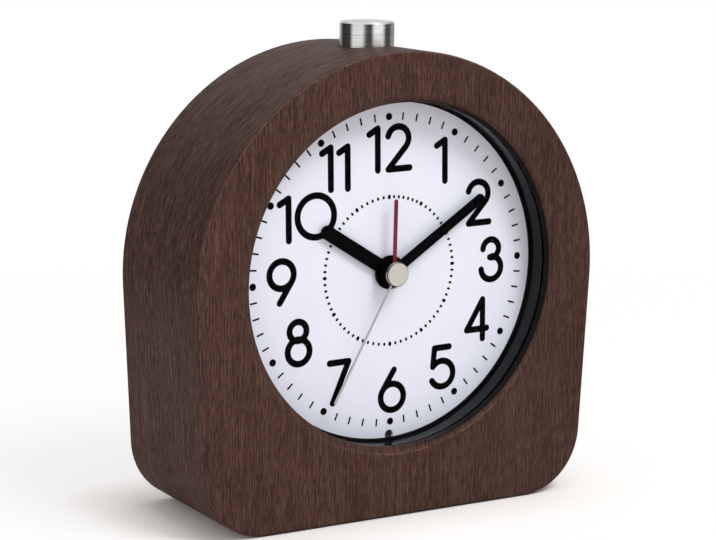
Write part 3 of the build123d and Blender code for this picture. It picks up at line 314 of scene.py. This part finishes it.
def turned_metal(name, colour, rough, tone, middle, axis, grit=0.004, **values):
    """Metal brushed round an axis: fine rings that differ in tone, and a glint drawn out across them."""
    rings = 5.0        # to a millimetre
    made, tree, shader = material(name, Metallic=1.0, **values)
    where = node(tree, "Mapping", {"Vector": node(tree, "TexCoord").outputs["Object"],
                                   "Location": [-m / MM for m in middle], "Scale": [1 / MM] * 3})
    where = where.outputs["Vector"]
    x, y, z = split(tree, where)
    height, other = (z, y) if axis == "Z" else (y, z)
    polar = combine(tree, times(tree, distance(tree, x, other), rings),
                    times(tree, calc(tree, "ARCTAN2", x, other), 0.5), times(tree, height, rings))
    lines = noise(tree, polar, 1.0, 3)
    patches = noise(tree, where, 0.3, 3)
    base = ramp(tree, lines, (0.3, shade(colour, 1 - tone)), (0.7, shade(colour, 1 + tone / 3)))
    base = mix(tree, span(tree, patches, 0, 0.12, 0.4, 0.7), base, shade(colour, 0.8))
    tangent = node(tree, "Tangent", direction_type="RADIAL", axis=axis).outputs["Tangent"]
    join(tree, shader, Base_Color=base, Roughness=span(tree, lines, *rough, 0.3, 0.7),
         Normal=bump(tree, lines, grit), Tangent=tangent)
    return made


def copper():
    made, tree, shader = material("enamelled_copper", Metallic=1.0, Coat_Weight=0.5, Coat_Roughness=0.2)
    along = noise(tree, place(tree), 0.7, 4)
    base = ramp(tree, along, (0.3, (0.48, 0.17, 0.075)), (0.7, (0.72, 0.33, 0.17)))
    join(tree, shader, Base_Color=base, Roughness=span(tree, along, 0.22, 0.38, 0.3, 0.7),
         Normal=bump(tree, along, 0.01))
    return made


def board():
    """Lacquered board: the glass weave shows faintly through the green."""
    made, tree, shader = material("board_lacquer", Coat_Weight=0.3, Coat_Roughness=0.25)
    threads = [node(tree, "TexWave", {"Vector": place(tree), "Scale": 0.55, "Distortion": 0.4},
                    bands_direction=way).outputs["Fac"] for way in "XZ"]
    weave = times(tree, *threads)
    cloud = noise(tree, place(tree), 0.3, 4)
    base = ramp(tree, cloud, (0.3, (0.018, 0.115, 0.055)), (0.7, (0.03, 0.17, 0.08)))
    base = mix(tree, span(tree, weave, 0, 0.3), base, (0.07, 0.26, 0.12))
    join(tree, shader, Base_Color=base, Roughness=span(tree, cloud, 0.3, 0.45, 0.3, 0.7),
         Normal=bump(tree, weave, 0.01))
    return made


CELL_BAND = (12.0, 24.2)   # the sleeve's pale band, along X
CELL_SLEEVE = (-22.6, 24.9)    # the sleeve's ends: past them the can is bare


def battery_sleeve():
    """Printed sleeve shrunk over a steel can, whose ends are bare."""
    made, tree, shader = material("cell_sleeve", Coat_Weight=0.3, Coat_Roughness=0.15)
    x = split(tree, place(tree))["X"]
    cloud = noise(tree, place(tree), 0.4, 4)
    fine = noise(tree, place(tree, (0.2, 1, 1)), 2.0, 3)
    body = ramp(tree, cloud, (0.3, (0.045, 0.10, 0.16)), (0.7, (0.06, 0.13, 0.20)))
    body = mix(tree, between(tree, x, *CELL_BAND), body, (0.62, 0.63, 0.64))
    bare = larger(tree, calc(tree, "GREATER_THAN", x, CELL_SLEEVE[1]),
                  calc(tree, "LESS_THAN", x, CELL_SLEEVE[0]))
    steel = ramp(tree, fine, (0.3, (0.5, 0.5, 0.5)), (0.7, (0.7, 0.7, 0.69)))
    join(tree, shader, Base_Color=mix(tree, bare, body, steel), Metallic=bare,
         Roughness=span(tree, fine, 0.22, 0.36, 0.3, 0.7), Normal=bump(tree, cloud, 0.02))
    return made


def lamp():
    made, tree, shader = material("lamp_resin", Coat_Weight=0.3, Coat_Roughness=0.05)
    cloud = noise(tree, place(tree), 1.0, 3)
    base = ramp(tree, cloud, (0.3, (0.006, 0.006, 0.007)), (0.7, (0.016, 0.017, 0.02)))
    join(tree, shader, Base_Color=base, Roughness=span(tree, cloud, 0.08, 0.2, 0.3, 0.7))
    return made


def dial_radius(tree):
    """Distance from the dial's axis."""
    x, _, z = split(tree, place(tree))
    return distance(tree, x, calc(tree, "SUBTRACT", z, AXIS_Z))


def paint_over(look, where, colour):
    """Lays a colour over a material's own where the given factor is 1."""
    tree, shader = look.node_tree, look.node_tree.nodes["Principled BSDF"]
    own = shader.inputs["Base Color"].links[0].from_socket
    join(tree, shader, Base_Color=mix(tree, where, own, colour))
    return look


RED_HUB_RADIUS = 2.45
# where the cap's polished edge has a painted dark reflection
CAP_DARK_REFLECTION_RADII = (2.53, 2.735)


def alarm_red():
    """Red paint, with the hub left black."""
    look = moulded("hand_red", srgb(108, 20, 36), rough=(0.35, 0.5), depth=0.004, Specular_IOR_Level=0.3)
    tree = look.node_tree
    return paint_over(look, calc(tree, "LESS_THAN", dial_radius(tree), RED_HUB_RADIUS), BLACK)


def cap_metal():
    """The second hand's cap: a brushed face inside a polished edge, whose dark reflection is painted on as a
    dark ring.
    """
    look = turned_metal("turned_cap", (0.655, 0.65, 0.58), (0.3, 0.38), 0.06, (0, 0, AXIS_Z * MM), "Y")
    tree = look.node_tree
    # Painted reflection: a dark ring on the polished edge.
    return paint_over(look, between(tree, dial_radius(tree), *CAP_DARK_REFLECTION_RADII), (0.06, 0.058, 0.05))


def ink(name, colour):
    """Screen-printed ink: a slightly uneven film."""
    made, tree, shader = material(name, Specular_IOR_Level=0.015)
    film = noise(tree, place(tree), 3.0, 3)
    join(tree, shader, Base_Color=ramp(tree, film, (0.3, colour), (0.75, shade(colour, 1.6))),
         Roughness=span(tree, film, 0.42, 0.6, 0.3, 0.7), Normal=bump(tree, film, 0.0015))
    return made


LOOKS = {
    "wood_case": walnut(),
    "lens": clear_lens(),
    "dial_ring": ring_gloss(),
    "dial": dial_paint(),
    "dial_lamp": lamp(),
    "circuit_board": board(),
    "battery": battery_sleeve(),
    "coil_winding": copper(),
    "snooze_button": turned_metal("brushed_button", (0.92, 0.91, 0.885), (0.15, 0.24), 0.35, (0, -MM, 0), "Z",
                                  grit=0.002, Anisotropic=0.8, Anisotropic_Rotation=0.25),
    "second_hand_cap": cap_metal(),
}
SHARED = {
    moulded("hand_black", (0.0007, 0.0009, 0.0014), rough=(0.3, 0.42), depth=0.004,
            Specular_IOR_Level=0.015): ("hour_hand", "minute_hand"),
    alarm_red(): ("alarm_hand",),
    metal("hand_silver", (0.50, 0.51, 0.53), (0.3, 0.45)): ("second_hand",),
    moulded("cover_plastic", (0.022, 0.022, 0.024), 3.2, 0.02): ("rear_cover", "battery_door"),
    moulded("knob_plastic", (0.04, 0.04, 0.042), rough=(0.35, 0.5)): (
        "time_knob", "alarm_knob", "alarm_switch_slider"),
    moulded("inner_plastic", (0.03, 0.03, 0.032)): (
        "dial_carrier", "snooze_plunger", "snooze_switch", "alarm_switch_body", "buzzer"),
    moulded("frame_plastic", (0.72, 0.72, 0.69), 1.6, 0.01, tone=0.05): ("front_plate", "back_plate"),
    moulded("wheel_plastic", (0.74, 0.71, 0.62), 1.8, 0.006, (0.32, 0.45), 0.05): (
        "hour_wheel", "cannon_pinion", "centre_wheel", "alarm_wheel", "second_wheel", "third_wheel",
        "fifth_wheel", "rotor", "minute_wheel", "alarm_pinion"),
    moulded("bobbin_plastic", (0.62, 0.57, 0.40), 1.8, 0.006, (0.3, 0.45), 0.05): ("coil_bobbin",),
    moulded("chip_resin", (0.008, 0.008, 0.009), 1.5, 0.02, (0.1, 0.25)): ("controller_chip",),
    moulded("lead_red", (0.42, 0.025, 0.02), 1.2, 0.006, (0.35, 0.5)): ("battery_leads",),
    moulded("lead_white", (0.70, 0.69, 0.66), 1.2, 0.006, (0.35, 0.5), 0.06): ("lamp_leads",),
    metal("spring_brass", (0.72, 0.53, 0.24), (0.25, 0.4), (8, 1, 1)): ("alarm_contact",),
    metal("core_steel", (0.36, 0.36, 0.37), (0.35, 0.5), (6, 1, 1)): ("stator", "coil_core"),
    metal("bright_steel", (0.66, 0.66, 0.67), (0.2, 0.35), (1, 1, 5)): (
        "positive_contact", "negative_contact", "snooze_clip", "snooze_spring", "buzzer_leads",
        "quartz_crystal"),
    metal("screw_steel", (0.5, 0.5, 0.51), (0.25, 0.45), (2, 2, 2), 2.0): (
        "rear_screws", "movement_screws", "board_screws"),
}
for look, names in SHARED.items():
    for name in names:
        LOOKS[name] = look
for name, look in LOOKS.items():
    target = frame["nodes"][name].data.materials
    for index in range(len(target)):
        target[index] = look


# Flat shapes

def arc(centre, radius, start, end, steps=28):
    """Points on an arc, with angles in degrees anticlockwise from +X."""
    turns = [math.radians(start + (end - start) * i / steps) for i in range(steps + 1)]
    return [(centre[0] + radius * math.cos(t), centre[1] + radius * math.sin(t)) for t in turns]


def circle(centre, radius, steps):
    return arc(centre, radius, 0, 360 * (steps - 1) / steps, steps - 1)


def stroke(points, width):
    """The outline of a pen stroke with round ends."""
    path = [Vector(p) for p in points]
    half = width / 2
    left, right = [], []
    for i, spot in enumerate(path):
        before = (spot - path[i - 1]).normalized() if i else (path[1] - spot).normalized()
        after = (path[i + 1] - spot).normalized() if i + 1 < len(path) else before
        way = (before + after).normalized()
        side = Vector((-way.y, way.x)) * half / max(0.5, way.dot(after))
        left.append(spot + side)
        right.append(spot - side)

    def cap(spot, way):
        heading = math.degrees(math.atan2(way.y, way.x))
        return [Vector(p) for p in arc(spot, half, heading + 90, heading - 90, 10)[1:-1]]

    return left + cap(path[-1], path[-1] - path[-2]) + right[::-1] + cap(path[0], path[0] - path[1])


def add_object(name, data):
    made = bpy.data.objects.new(name, data)
    bpy.context.collection.objects.link(made)
    return made


def piece(name, data, look, body="root"):
    data.materials.clear()
    data.materials.append(look)
    made = add_object(name, data)
    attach(made, body)
    return made


class Sheet:
    """Flat shapes joined in one thin mesh, drawn in a plane across Y and read from the front or the back."""

    def __init__(self, base, film, turned=0.0, shift=(0, 0), back=False):
        self.mesh = bmesh.new()
        self.base, self.film, self.back = base, film, back
        self.turned = Matrix.Rotation(turned, 2)
        self.shift = Vector(shift)
        self.layer = 0

    def place(self, point, level):
        spot = self.turned @ Vector(point) + self.shift
        x = -spot.x if self.back else spot.x
        way = 1 if self.back else -1
        return self.mesh.verts.new(Vector((x, self.base + way * level, spot.y + AXIS_Z)) * MM)

    def loop(self, outline, hole=None):
        """A closed shape, and with a hole the ring between the two outlines, which have equal counts.

        Four levels of film in turn keep shapes that cross from lying in one plane.
        """
        self.layer = (self.layer + 1) % 4
        level = self.film * (1 + 0.08 * self.layer)
        top = [self.place(p, level) for p in outline]
        foot = [self.place(p, 0) for p in outline]
        count = len(outline)
        turns = [(i, (i + 1) % count) for i in range(count)]
        for i, j in turns:
            self.mesh.faces.new((top[i], top[j], foot[j], foot[i]))
        if hole is None:
            self.mesh.faces.new(top)
            return
        inner_top = [self.place(p, level) for p in hole]
        inner_foot = [self.place(p, 0) for p in hole]
        for i, j in turns:
            self.mesh.faces.new((top[i], top[j], inner_top[j], inner_top[i]))
            self.mesh.faces.new((inner_top[i], inner_top[j], inner_foot[j], inner_foot[i]))

    def line(self, points, width):
        self.loop(stroke(points, width))

    def ring(self, centre, radius, width):
        self.loop(*(circle(centre, edge, 48) for edge in (radius + width / 2, radius - width / 2)))

    def dot(self, centre, radius):
        self.loop(circle(centre, radius, 24))

    def done(self, name, look, body="root"):
        bmesh.ops.recalc_face_normals(self.mesh, faces=self.mesh.faces)
        data = bpy.data.meshes.new(name)
        self.mesh.to_mesh(data)
        self.mesh.free()
        return piece(name, data, look, body)


# The dial's print

PEN = 1.46             # width of the numerals' strokes
DIGITS = {
    "1": ([(0, 4.53), (0, -4.53)], [(0, 4.53), (-2.13, 3.4)]),
    "2": (arc((-0.15, 1.95), 2.65, 165, -43) + [(-2.7, -4.6)], [(-2.7, -4.6), (2.75, -4.6)]),
    "3": (arc((-0.05, 2.45), 2.1, 178, -80), [(0.31, 0.38), (-0.35, 0.55)], arc((0, -1.9), 2.65, 82, -176)),
    "4": ([(1.55, 4.47), (1.55, -4.5)], [(1.55, 4.47), (-2.7, -2.2)], [(-2.7, -2.2), (2.65, -2.2)]),
    "5": ([(1.8, 4.5), (-2.05, 4.5)], [(-2.05, 4.5), (-2.5, 0.35)], arc((-0.15, -1.5), 2.95, 142, -152)),
    "6": ([(-2.45, 0.05), (0.55, 4.5)],),
    "7": ([(-2.35, 4.5), (2.4, 4.5)], [(2.4, 4.5), (-1.7, -4.45)]),
    "9": ([(2.45, -0.05), (-0.55, -4.5)],),
}
# Rings that digits have as well, each by its middle and radius
ROUNDS = {
    "6": ((0, -1.6, 2.95),),
    "8": ((-0.05, 2.55, 2.08), (0.05, -1.95, 2.7)),
    "9": ((0, 1.6, 2.95),),
    "0": ((0, 0, 4.5),),
}
# Where each digit stands from the dial's axis
NUMERALS = [
    ("1", -2.87, 26.93), ("2", 2.49, 27.0), ("1", 14.39, 23.27), ("2", 23.37, 13.16), ("3", 26.76, -0.15),
    ("4", 22.99, -13.55), ("5", 13.76, -23.34), ("6", 0.52, -26.83), ("7", -12.96, -23.41),
    ("8", -23.03, -13.37), ("9", -26.91, 0.28), ("1", -25.04, 13.6), ("0", -18.39, 13.74),
    ("1", -14.62, 23.7), ("1", -10.42, 23.6),
]
PRINT_TURN = math.radians(1.35)    # the photo's dial is printed slightly turned and off centre
PRINT_SHIFT = (0.35, 0.15)
DIAL_Y = -11.5         # the dial's face
DIAL_FILM = 0.025      # thickness of the ink
TICK = ((33.1, -0.34), (34.8, -0.33), (34.8, 0.33), (33.1, 0.34))    # radius and degrees of its corners
HOUR_DOT_PLACE, HOUR_DOT_RADIUS = 33.9, 0.8
ALARM_DOT_PLACES = (16.22, 16.48)
ALARM_DOT, ALARM_HOUR_DOT = 0.52, 0.74
dial_ink = ink("dial_ink", BLACK)


def on_dial():
    return Sheet(DIAL_Y, DIAL_FILM, PRINT_TURN, PRINT_SHIFT)


def polar(radius, degrees):
    """A point by its radius and its degrees clockwise from twelve."""
    turn = math.radians(degrees)
    return radius * math.sin(turn), radius * math.cos(turn)


numerals = on_dial()
for digit, x, z in NUMERALS:
    for points in DIGITS.get(digit, ()):
        numerals.line([(x + a, z + b) for a, b in points], PEN)
    for a, b, radius in ROUNDS.get(digit, ()):
        numerals.ring((x + a, z + b), radius, PEN)
numerals.done("dial_numerals", dial_ink)

track = on_dial()
for minute in range(60):
    if minute % 5:
        track.loop([polar(radius, minute * 6 + side) for radius, side in TICK])
    else:
        track.dot(polar(HOUR_DOT_PLACE, minute * 6), HOUR_DOT_RADIUS)
track.done("dial_minute_track", dial_ink)

inner = on_dial()
for hour in range(12):
    steps = 7 if hour == 0 else 6
    for step in range(steps):
        way = (hour + step / steps) * 30
        inner.line([polar(radius, way) for radius in ALARM_DOT_PLACES], ALARM_DOT if step else ALARM_HOUR_DOT)
inner.done("dial_alarm_track", dial_ink)


# Marks on the back, raised in the moulding

COVER_Y = 14.9         # the rear cover's outer face
MARK_FILM = 0.12       # how far the marks stand out from it
ALARM_KNOB_X, TIME_KNOB_X = -12.8, 13.2    # as read from behind, at the height of the dial's axis
ARROW_RADIUS, ARROW_LINE = 7.0, 0.45
HEAD_REACH, HEAD_HALF_WIDTH, HEAD_BACK = 1.3, 0.8, 0.3
mark_white = ink("mark_white", (0.55, 0.55, 0.55))


def on_cover():
    return Sheet(COVER_Y, MARK_FILM, back=True)


def arrow_round(sheet, centre, start, end):
    """A bent arrow. Its head is at the end angle."""
    points = arc(centre, ARROW_RADIUS, start, end, 20)
    sheet.line(points, ARROW_LINE)
    tip, way = Vector(points[-1]), (Vector(points[-1]) - Vector(points[-2])).normalized()
    side = Vector((-way.y, way.x)) * HEAD_HALF_WIDTH
    foot = tip - way * HEAD_BACK
    sheet.loop([tip + way * HEAD_REACH, foot + side, foot - side])


marks = on_cover()
arrow_round(marks, (TIME_KNOB_X, 0), 264, 214)
arrow_round(marks, (TIME_KNOB_X, 0), 276, 326)
arrow_round(marks, (ALARM_KNOB_X, 0), 214, 322)
# A clock face above the time knob, and a bell above the alarm knob
marks.ring((TIME_KNOB_X, 9.6), 1.7, 0.4)
marks.line([(TIME_KNOB_X, 10.7), (TIME_KNOB_X, 9.6), (13.9, 9.1)], 0.35)
bell = [(-14.5, 8.5), (-14.1, 9.1), (-14.0, 10.2), (-13.6, 10.9), (ALARM_KNOB_X, 11.2), (-12.0, 10.9),
        (-11.6, 10.2), (-11.5, 9.1), (-11.1, 8.5)]
marks.loop(bell[::-1])
marks.dot((ALARM_KNOB_X, 8.15), 0.32)
marks.done("cover_marks", mark_white)

door_marks = on_cover()
door_marks.loop([(-1.6, -17.9), (0, -19.7), (1.6, -17.9)])
door_marks.done("door_arrow", mark_white, "battery_hatch")


# Letters and wound wire, which Blender's own curves make

def as_mesh(curve):
    holder = add_object(curve.name + "_curve", curve)
    bpy.context.view_layer.update()
    data = bpy.data.meshes.new_from_object(holder)
    bpy.data.objects.remove(holder)
    return data


WORD_HEIGHT = 32.4     # of the words' middle above the dial's axis, as the switch beside them
WORD_SIZE = 2.6
LETTER_RISE = 0.06     # half their thickness


def words(name, text, x):
    """Raised letters on the back, read from behind."""
    letters = bpy.data.curves.new(name, "FONT")
    letters.body = text
    letters.size = WORD_SIZE * MM
    letters.extrude = LETTER_RISE * MM
    letters.align_x = letters.align_y = "CENTER"
    data = as_mesh(letters)
    y, z = COVER_Y + LETTER_RISE, WORD_HEIGHT + AXIS_Z
    data.transform(Matrix(((-1, 0, 0, x * MM), (0, 0, 1, y * MM), (0, 1, 0, z * MM), (0, 0, 0, 1))))
    return piece(name, data, mark_white)


words("mark_on", "ON", 1.6)
words("mark_off", "OFF", -15.4)


def wound(name, points, wire, resolution):
    """Round wire along points, as a mesh."""
    curve = bpy.data.curves.new(name, "CURVE")
    curve.dimensions = "3D"
    curve.bevel_depth = wire
    curve.bevel_resolution = resolution
    curve.use_fill_caps = True
    line = curve.splines.new("POLY")
    line.points.add(len(points) - 1)
    for point, spot in zip(line.points, points):
        point.co = (*spot, 1)
    return as_mesh(curve)


def smooth(data):
    data.polygons.foreach_set("use_smooth", [True] * len(data.polygons))


def coil():
    """Turns of wire laid side by side on the bobbin."""
    low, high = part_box("coil_winding")
    middle = (low + high) / 2
    radius = (high.y - low.y) / 2
    wire = 0.11 * MM
    # The coil lies at 45 degrees, so its box is wider than it is long.
    length = 2 * ((high.x - low.x) / 2 * math.sqrt(2) - radius) - 2 * wire
    turns = int(length / (2 * wire))
    steps = 18
    along, across = Vector((1, 0, 1)).normalized(), Vector((1, 0, -1)).normalized()
    reach = radius - wire
    points = []
    for i in range(turns * steps + 1):
        angle = i / steps * math.tau
        points.append(middle + along * (length * (i / (turns * steps) - 0.5))
                      + across * (math.cos(angle) * reach) + Vector((0, math.sin(angle) * reach, 0)))
    data = wound("coil_turns", points, wire, 1)
    core = bmesh.new()
    core.from_mesh(data)
    turn = Matrix.Translation(middle) @ Vector((0, 0, 1)).rotation_difference(along).to_matrix().to_4x4()
    core_radius = radius - wire * 1.6
    bmesh.ops.create_cone(core, cap_ends=True, segments=32, radius1=core_radius, radius2=core_radius,
                          depth=length, matrix=turn)
    core.to_mesh(data)
    core.free()
    smooth(data)
    made = piece("coil_turns", data, LOOKS["coil_winding"])
    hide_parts("coil_winding")


def button_spring():
    """The spring under the button: a closed turn at each end, and open turns that close up when pressed."""
    low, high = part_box("snooze_spring")
    middle = (low + high) / 2
    wire = 0.3 * MM
    radius = (high.x - low.x) / 2 - wire
    turns, steps = 6, 28
    rise = high.z - low.z - 2 * wire
    points = []
    for i in range(turns * steps + 1):
        turn = i / steps
        open_turns = min(max(turn - 1, 0), turns - 2)
        closed_turns = turn - open_turns
        climb = closed_turns * 2 * wire + open_turns * (rise - 4 * wire) / (turns - 2)
        angle = turn * math.tau
        points.append(Vector((middle.x + radius * math.cos(angle), middle.y + radius * math.sin(angle),
                              low.z + wire + climb)))
    data = wound("button_spring", points, wire, 3)
    smooth(data)
    made = piece("button_spring", data, LOOKS["snooze_spring"])
    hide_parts("snooze_spring")
    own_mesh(made)


coil()
button_spring()


# The room, in metres

WALLS = ((0.0, 0.85), (0.11, 0.9), (0.155, 0.09), (0.215, 0.03), (0.255, 0.97), (0.355, 0.97), (0.40, 0.06),
         (0.465, 0.08), (0.51, 0.3), (0.58, 0.3), (0.62, 0.72), (0.74, 0.72), (0.79, 0.3), (0.83, 0.03),
         (0.96, 0.04), (1.0, 0.85))
WHITE = (1, 1, 1)
ROOM_LIGHT = (0.745, 0.70, 0.68)
CEILING = (0.85, 0.85, 0.85)
FLOOR_COLOUR = (0.87, 0.81, 0.78, 1)
FLOOR_SHOWN = (1, 0.98, 0.965)
BASE_HALF = (0.045, 0.0185)    # half the base's width and depth
LAMP_SPOT = (0.2, -0.48, 0.74)
LAMP_SIZE = 0.36
LAMP_POWER = 3.9       # watts


def band_tone(tree, where):
    """Light and dark walls round the room, by the direction from the clock."""
    turn = node(tree, "TexGradient", {"Vector": where}, gradient_type="RADIAL").outputs["Fac"]
    return ramp(tree, turn, *[(t, (v, v, v)) for t, v in WALLS])


def seen_or_mirrored(tree):
    """Whether a ray is seen straight or through clear glass, and whether it is a reflection."""
    path = node(tree, "LightPath").outputs
    return larger(tree, path["Is Camera Ray"], path["Is Transmission Ray"]), path["Is Glossy Ray"]


def world():
    """Even light, a white backdrop for the camera, and the banded walls for reflections."""
    made = bpy.data.worlds.new("room")
    made.use_nodes = True
    tree = made.node_tree
    seen, mirrored = seen_or_mirrored(tree)
    where = node(tree, "TexCoord").outputs["Generated"]
    up = split(tree, where)["Z"]
    walls = mix(tree, span(tree, up, 0, 1, 0.45, 0.8), band_tone(tree, where), CEILING)
    tone = mix(tree, mirrored, ROOM_LIGHT, walls)
    tree.links.new(mix(tree, seen, tone, WHITE), tree.nodes["Background"].inputs["Color"])
    bpy.context.scene.world = made


def floor():
    """A matt floor that the camera sees as white, apart from the shadow about the base."""
    bm = bmesh.new()
    bmesh.ops.create_grid(bm, x_segments=4, y_segments=4, size=6)
    data = bpy.data.meshes.new("floor")
    bm.to_mesh(data)
    bm.free()
    made = add_object("floor", data)
    look, tree, shader = material("pale_floor", Roughness=0.9, Specular_IOR_Level=0.1)
    shader.inputs["Base Color"].default_value = FLOOR_COLOUR
    seen, mirrored = seen_or_mirrored(tree)
    where = node(tree, "TexCoord").outputs["Object"]
    far = node(tree, "VectorMath", {0: where}, operation="LENGTH").outputs["Value"]
    walls = node(tree, "Emission", {"Color": band_tone(tree, where)}).outputs[0]
    white = node(tree, "Emission", {"Color": WHITE}).outputs[0]
    bright = node(tree, "BsdfDiffuse", {"Color": FLOOR_SHOWN}).outputs[0]
    x, y, _ = split(tree, where)
    beside, ahead = [larger(tree, calc(tree, "SUBTRACT", calc(tree, "ABSOLUTE", way), half), 0.0)
                     for way, half in zip((x, y), BASE_HALF)]
    off = distance(tree, beside, ahead)
    # The camera sees the floor's own shading by the base, mostly within 28 mm, and white past 300 mm.
    near = larger(tree, span(tree, off, 0.95, 0, 0.0, 0.028), span(tree, off, 0.32, 0, 0.0, 0.3))
    shown = node(tree, "MixShader", {0: near, 1: white, 2: bright}).outputs[0]
    beyond = times(tree, mirrored, span(tree, far, 0, 1, 0.16, 0.3))
    matt = node(tree, "MixShader", {0: beyond, 1: shader.outputs[0], 2: walls}).outputs[0]
    whole = node(tree, "MixShader", {0: seen, 1: matt, 2: shown}).outputs[0]
    tree.links.new(whole, tree.nodes["Material Output"].inputs["Surface"])
    data.materials.append(look)


def key_lamp():
    """One large soft lamp, up on the right in front, which points at the clock's middle."""
    data = bpy.data.lights.new("key_lamp", "AREA")
    data.shape = "DISK"
    data.size = LAMP_SIZE
    data.energy = LAMP_POWER
    made = add_object("key_lamp", data)
    made.location = LAMP_SPOT
    made.rotation_euler = (Vector((0, 0, 0.05)) - Vector(LAMP_SPOT)).to_track_quat("-Z", "Y").to_euler()


def photo_camera():
    """The camera that was fitted to the photo's edges."""
    focal_pixels, photo_width = 2202.94, 716
    film_width = 36        # in mm
    away = 491.04
    azimuth, height, roll = math.radians(-30.99), math.radians(10.25), math.radians(0.83)
    target = Vector((-0.78, 0, 52.06)) * MM
    back = Vector((math.sin(azimuth) * math.cos(height), -math.cos(azimuth) * math.cos(height),
                   math.sin(height)))
    right = (-back).cross(Vector((0, 0, 1))).normalized()
    up = right.cross(-back)
    across = right * math.cos(roll) + up * math.sin(roll)
    upward = up * math.cos(roll) - right * math.sin(roll)
    data = bpy.data.cameras.new("photo_camera")
    data.sensor_width = film_width
    data.lens = focal_pixels * film_width / photo_width
    data.clip_start = 0.01
    made = add_object("photo_camera", data)
    stand = Matrix((across, upward, back)).transposed().to_4x4()
    stand.translation = target + back * away * MM
    made.matrix_world = stand
    bpy.context.scene.camera = made


world()
floor()
key_lamp()
photo_camera()
bpy.context.scene.view_settings.view_transform = "Standard"
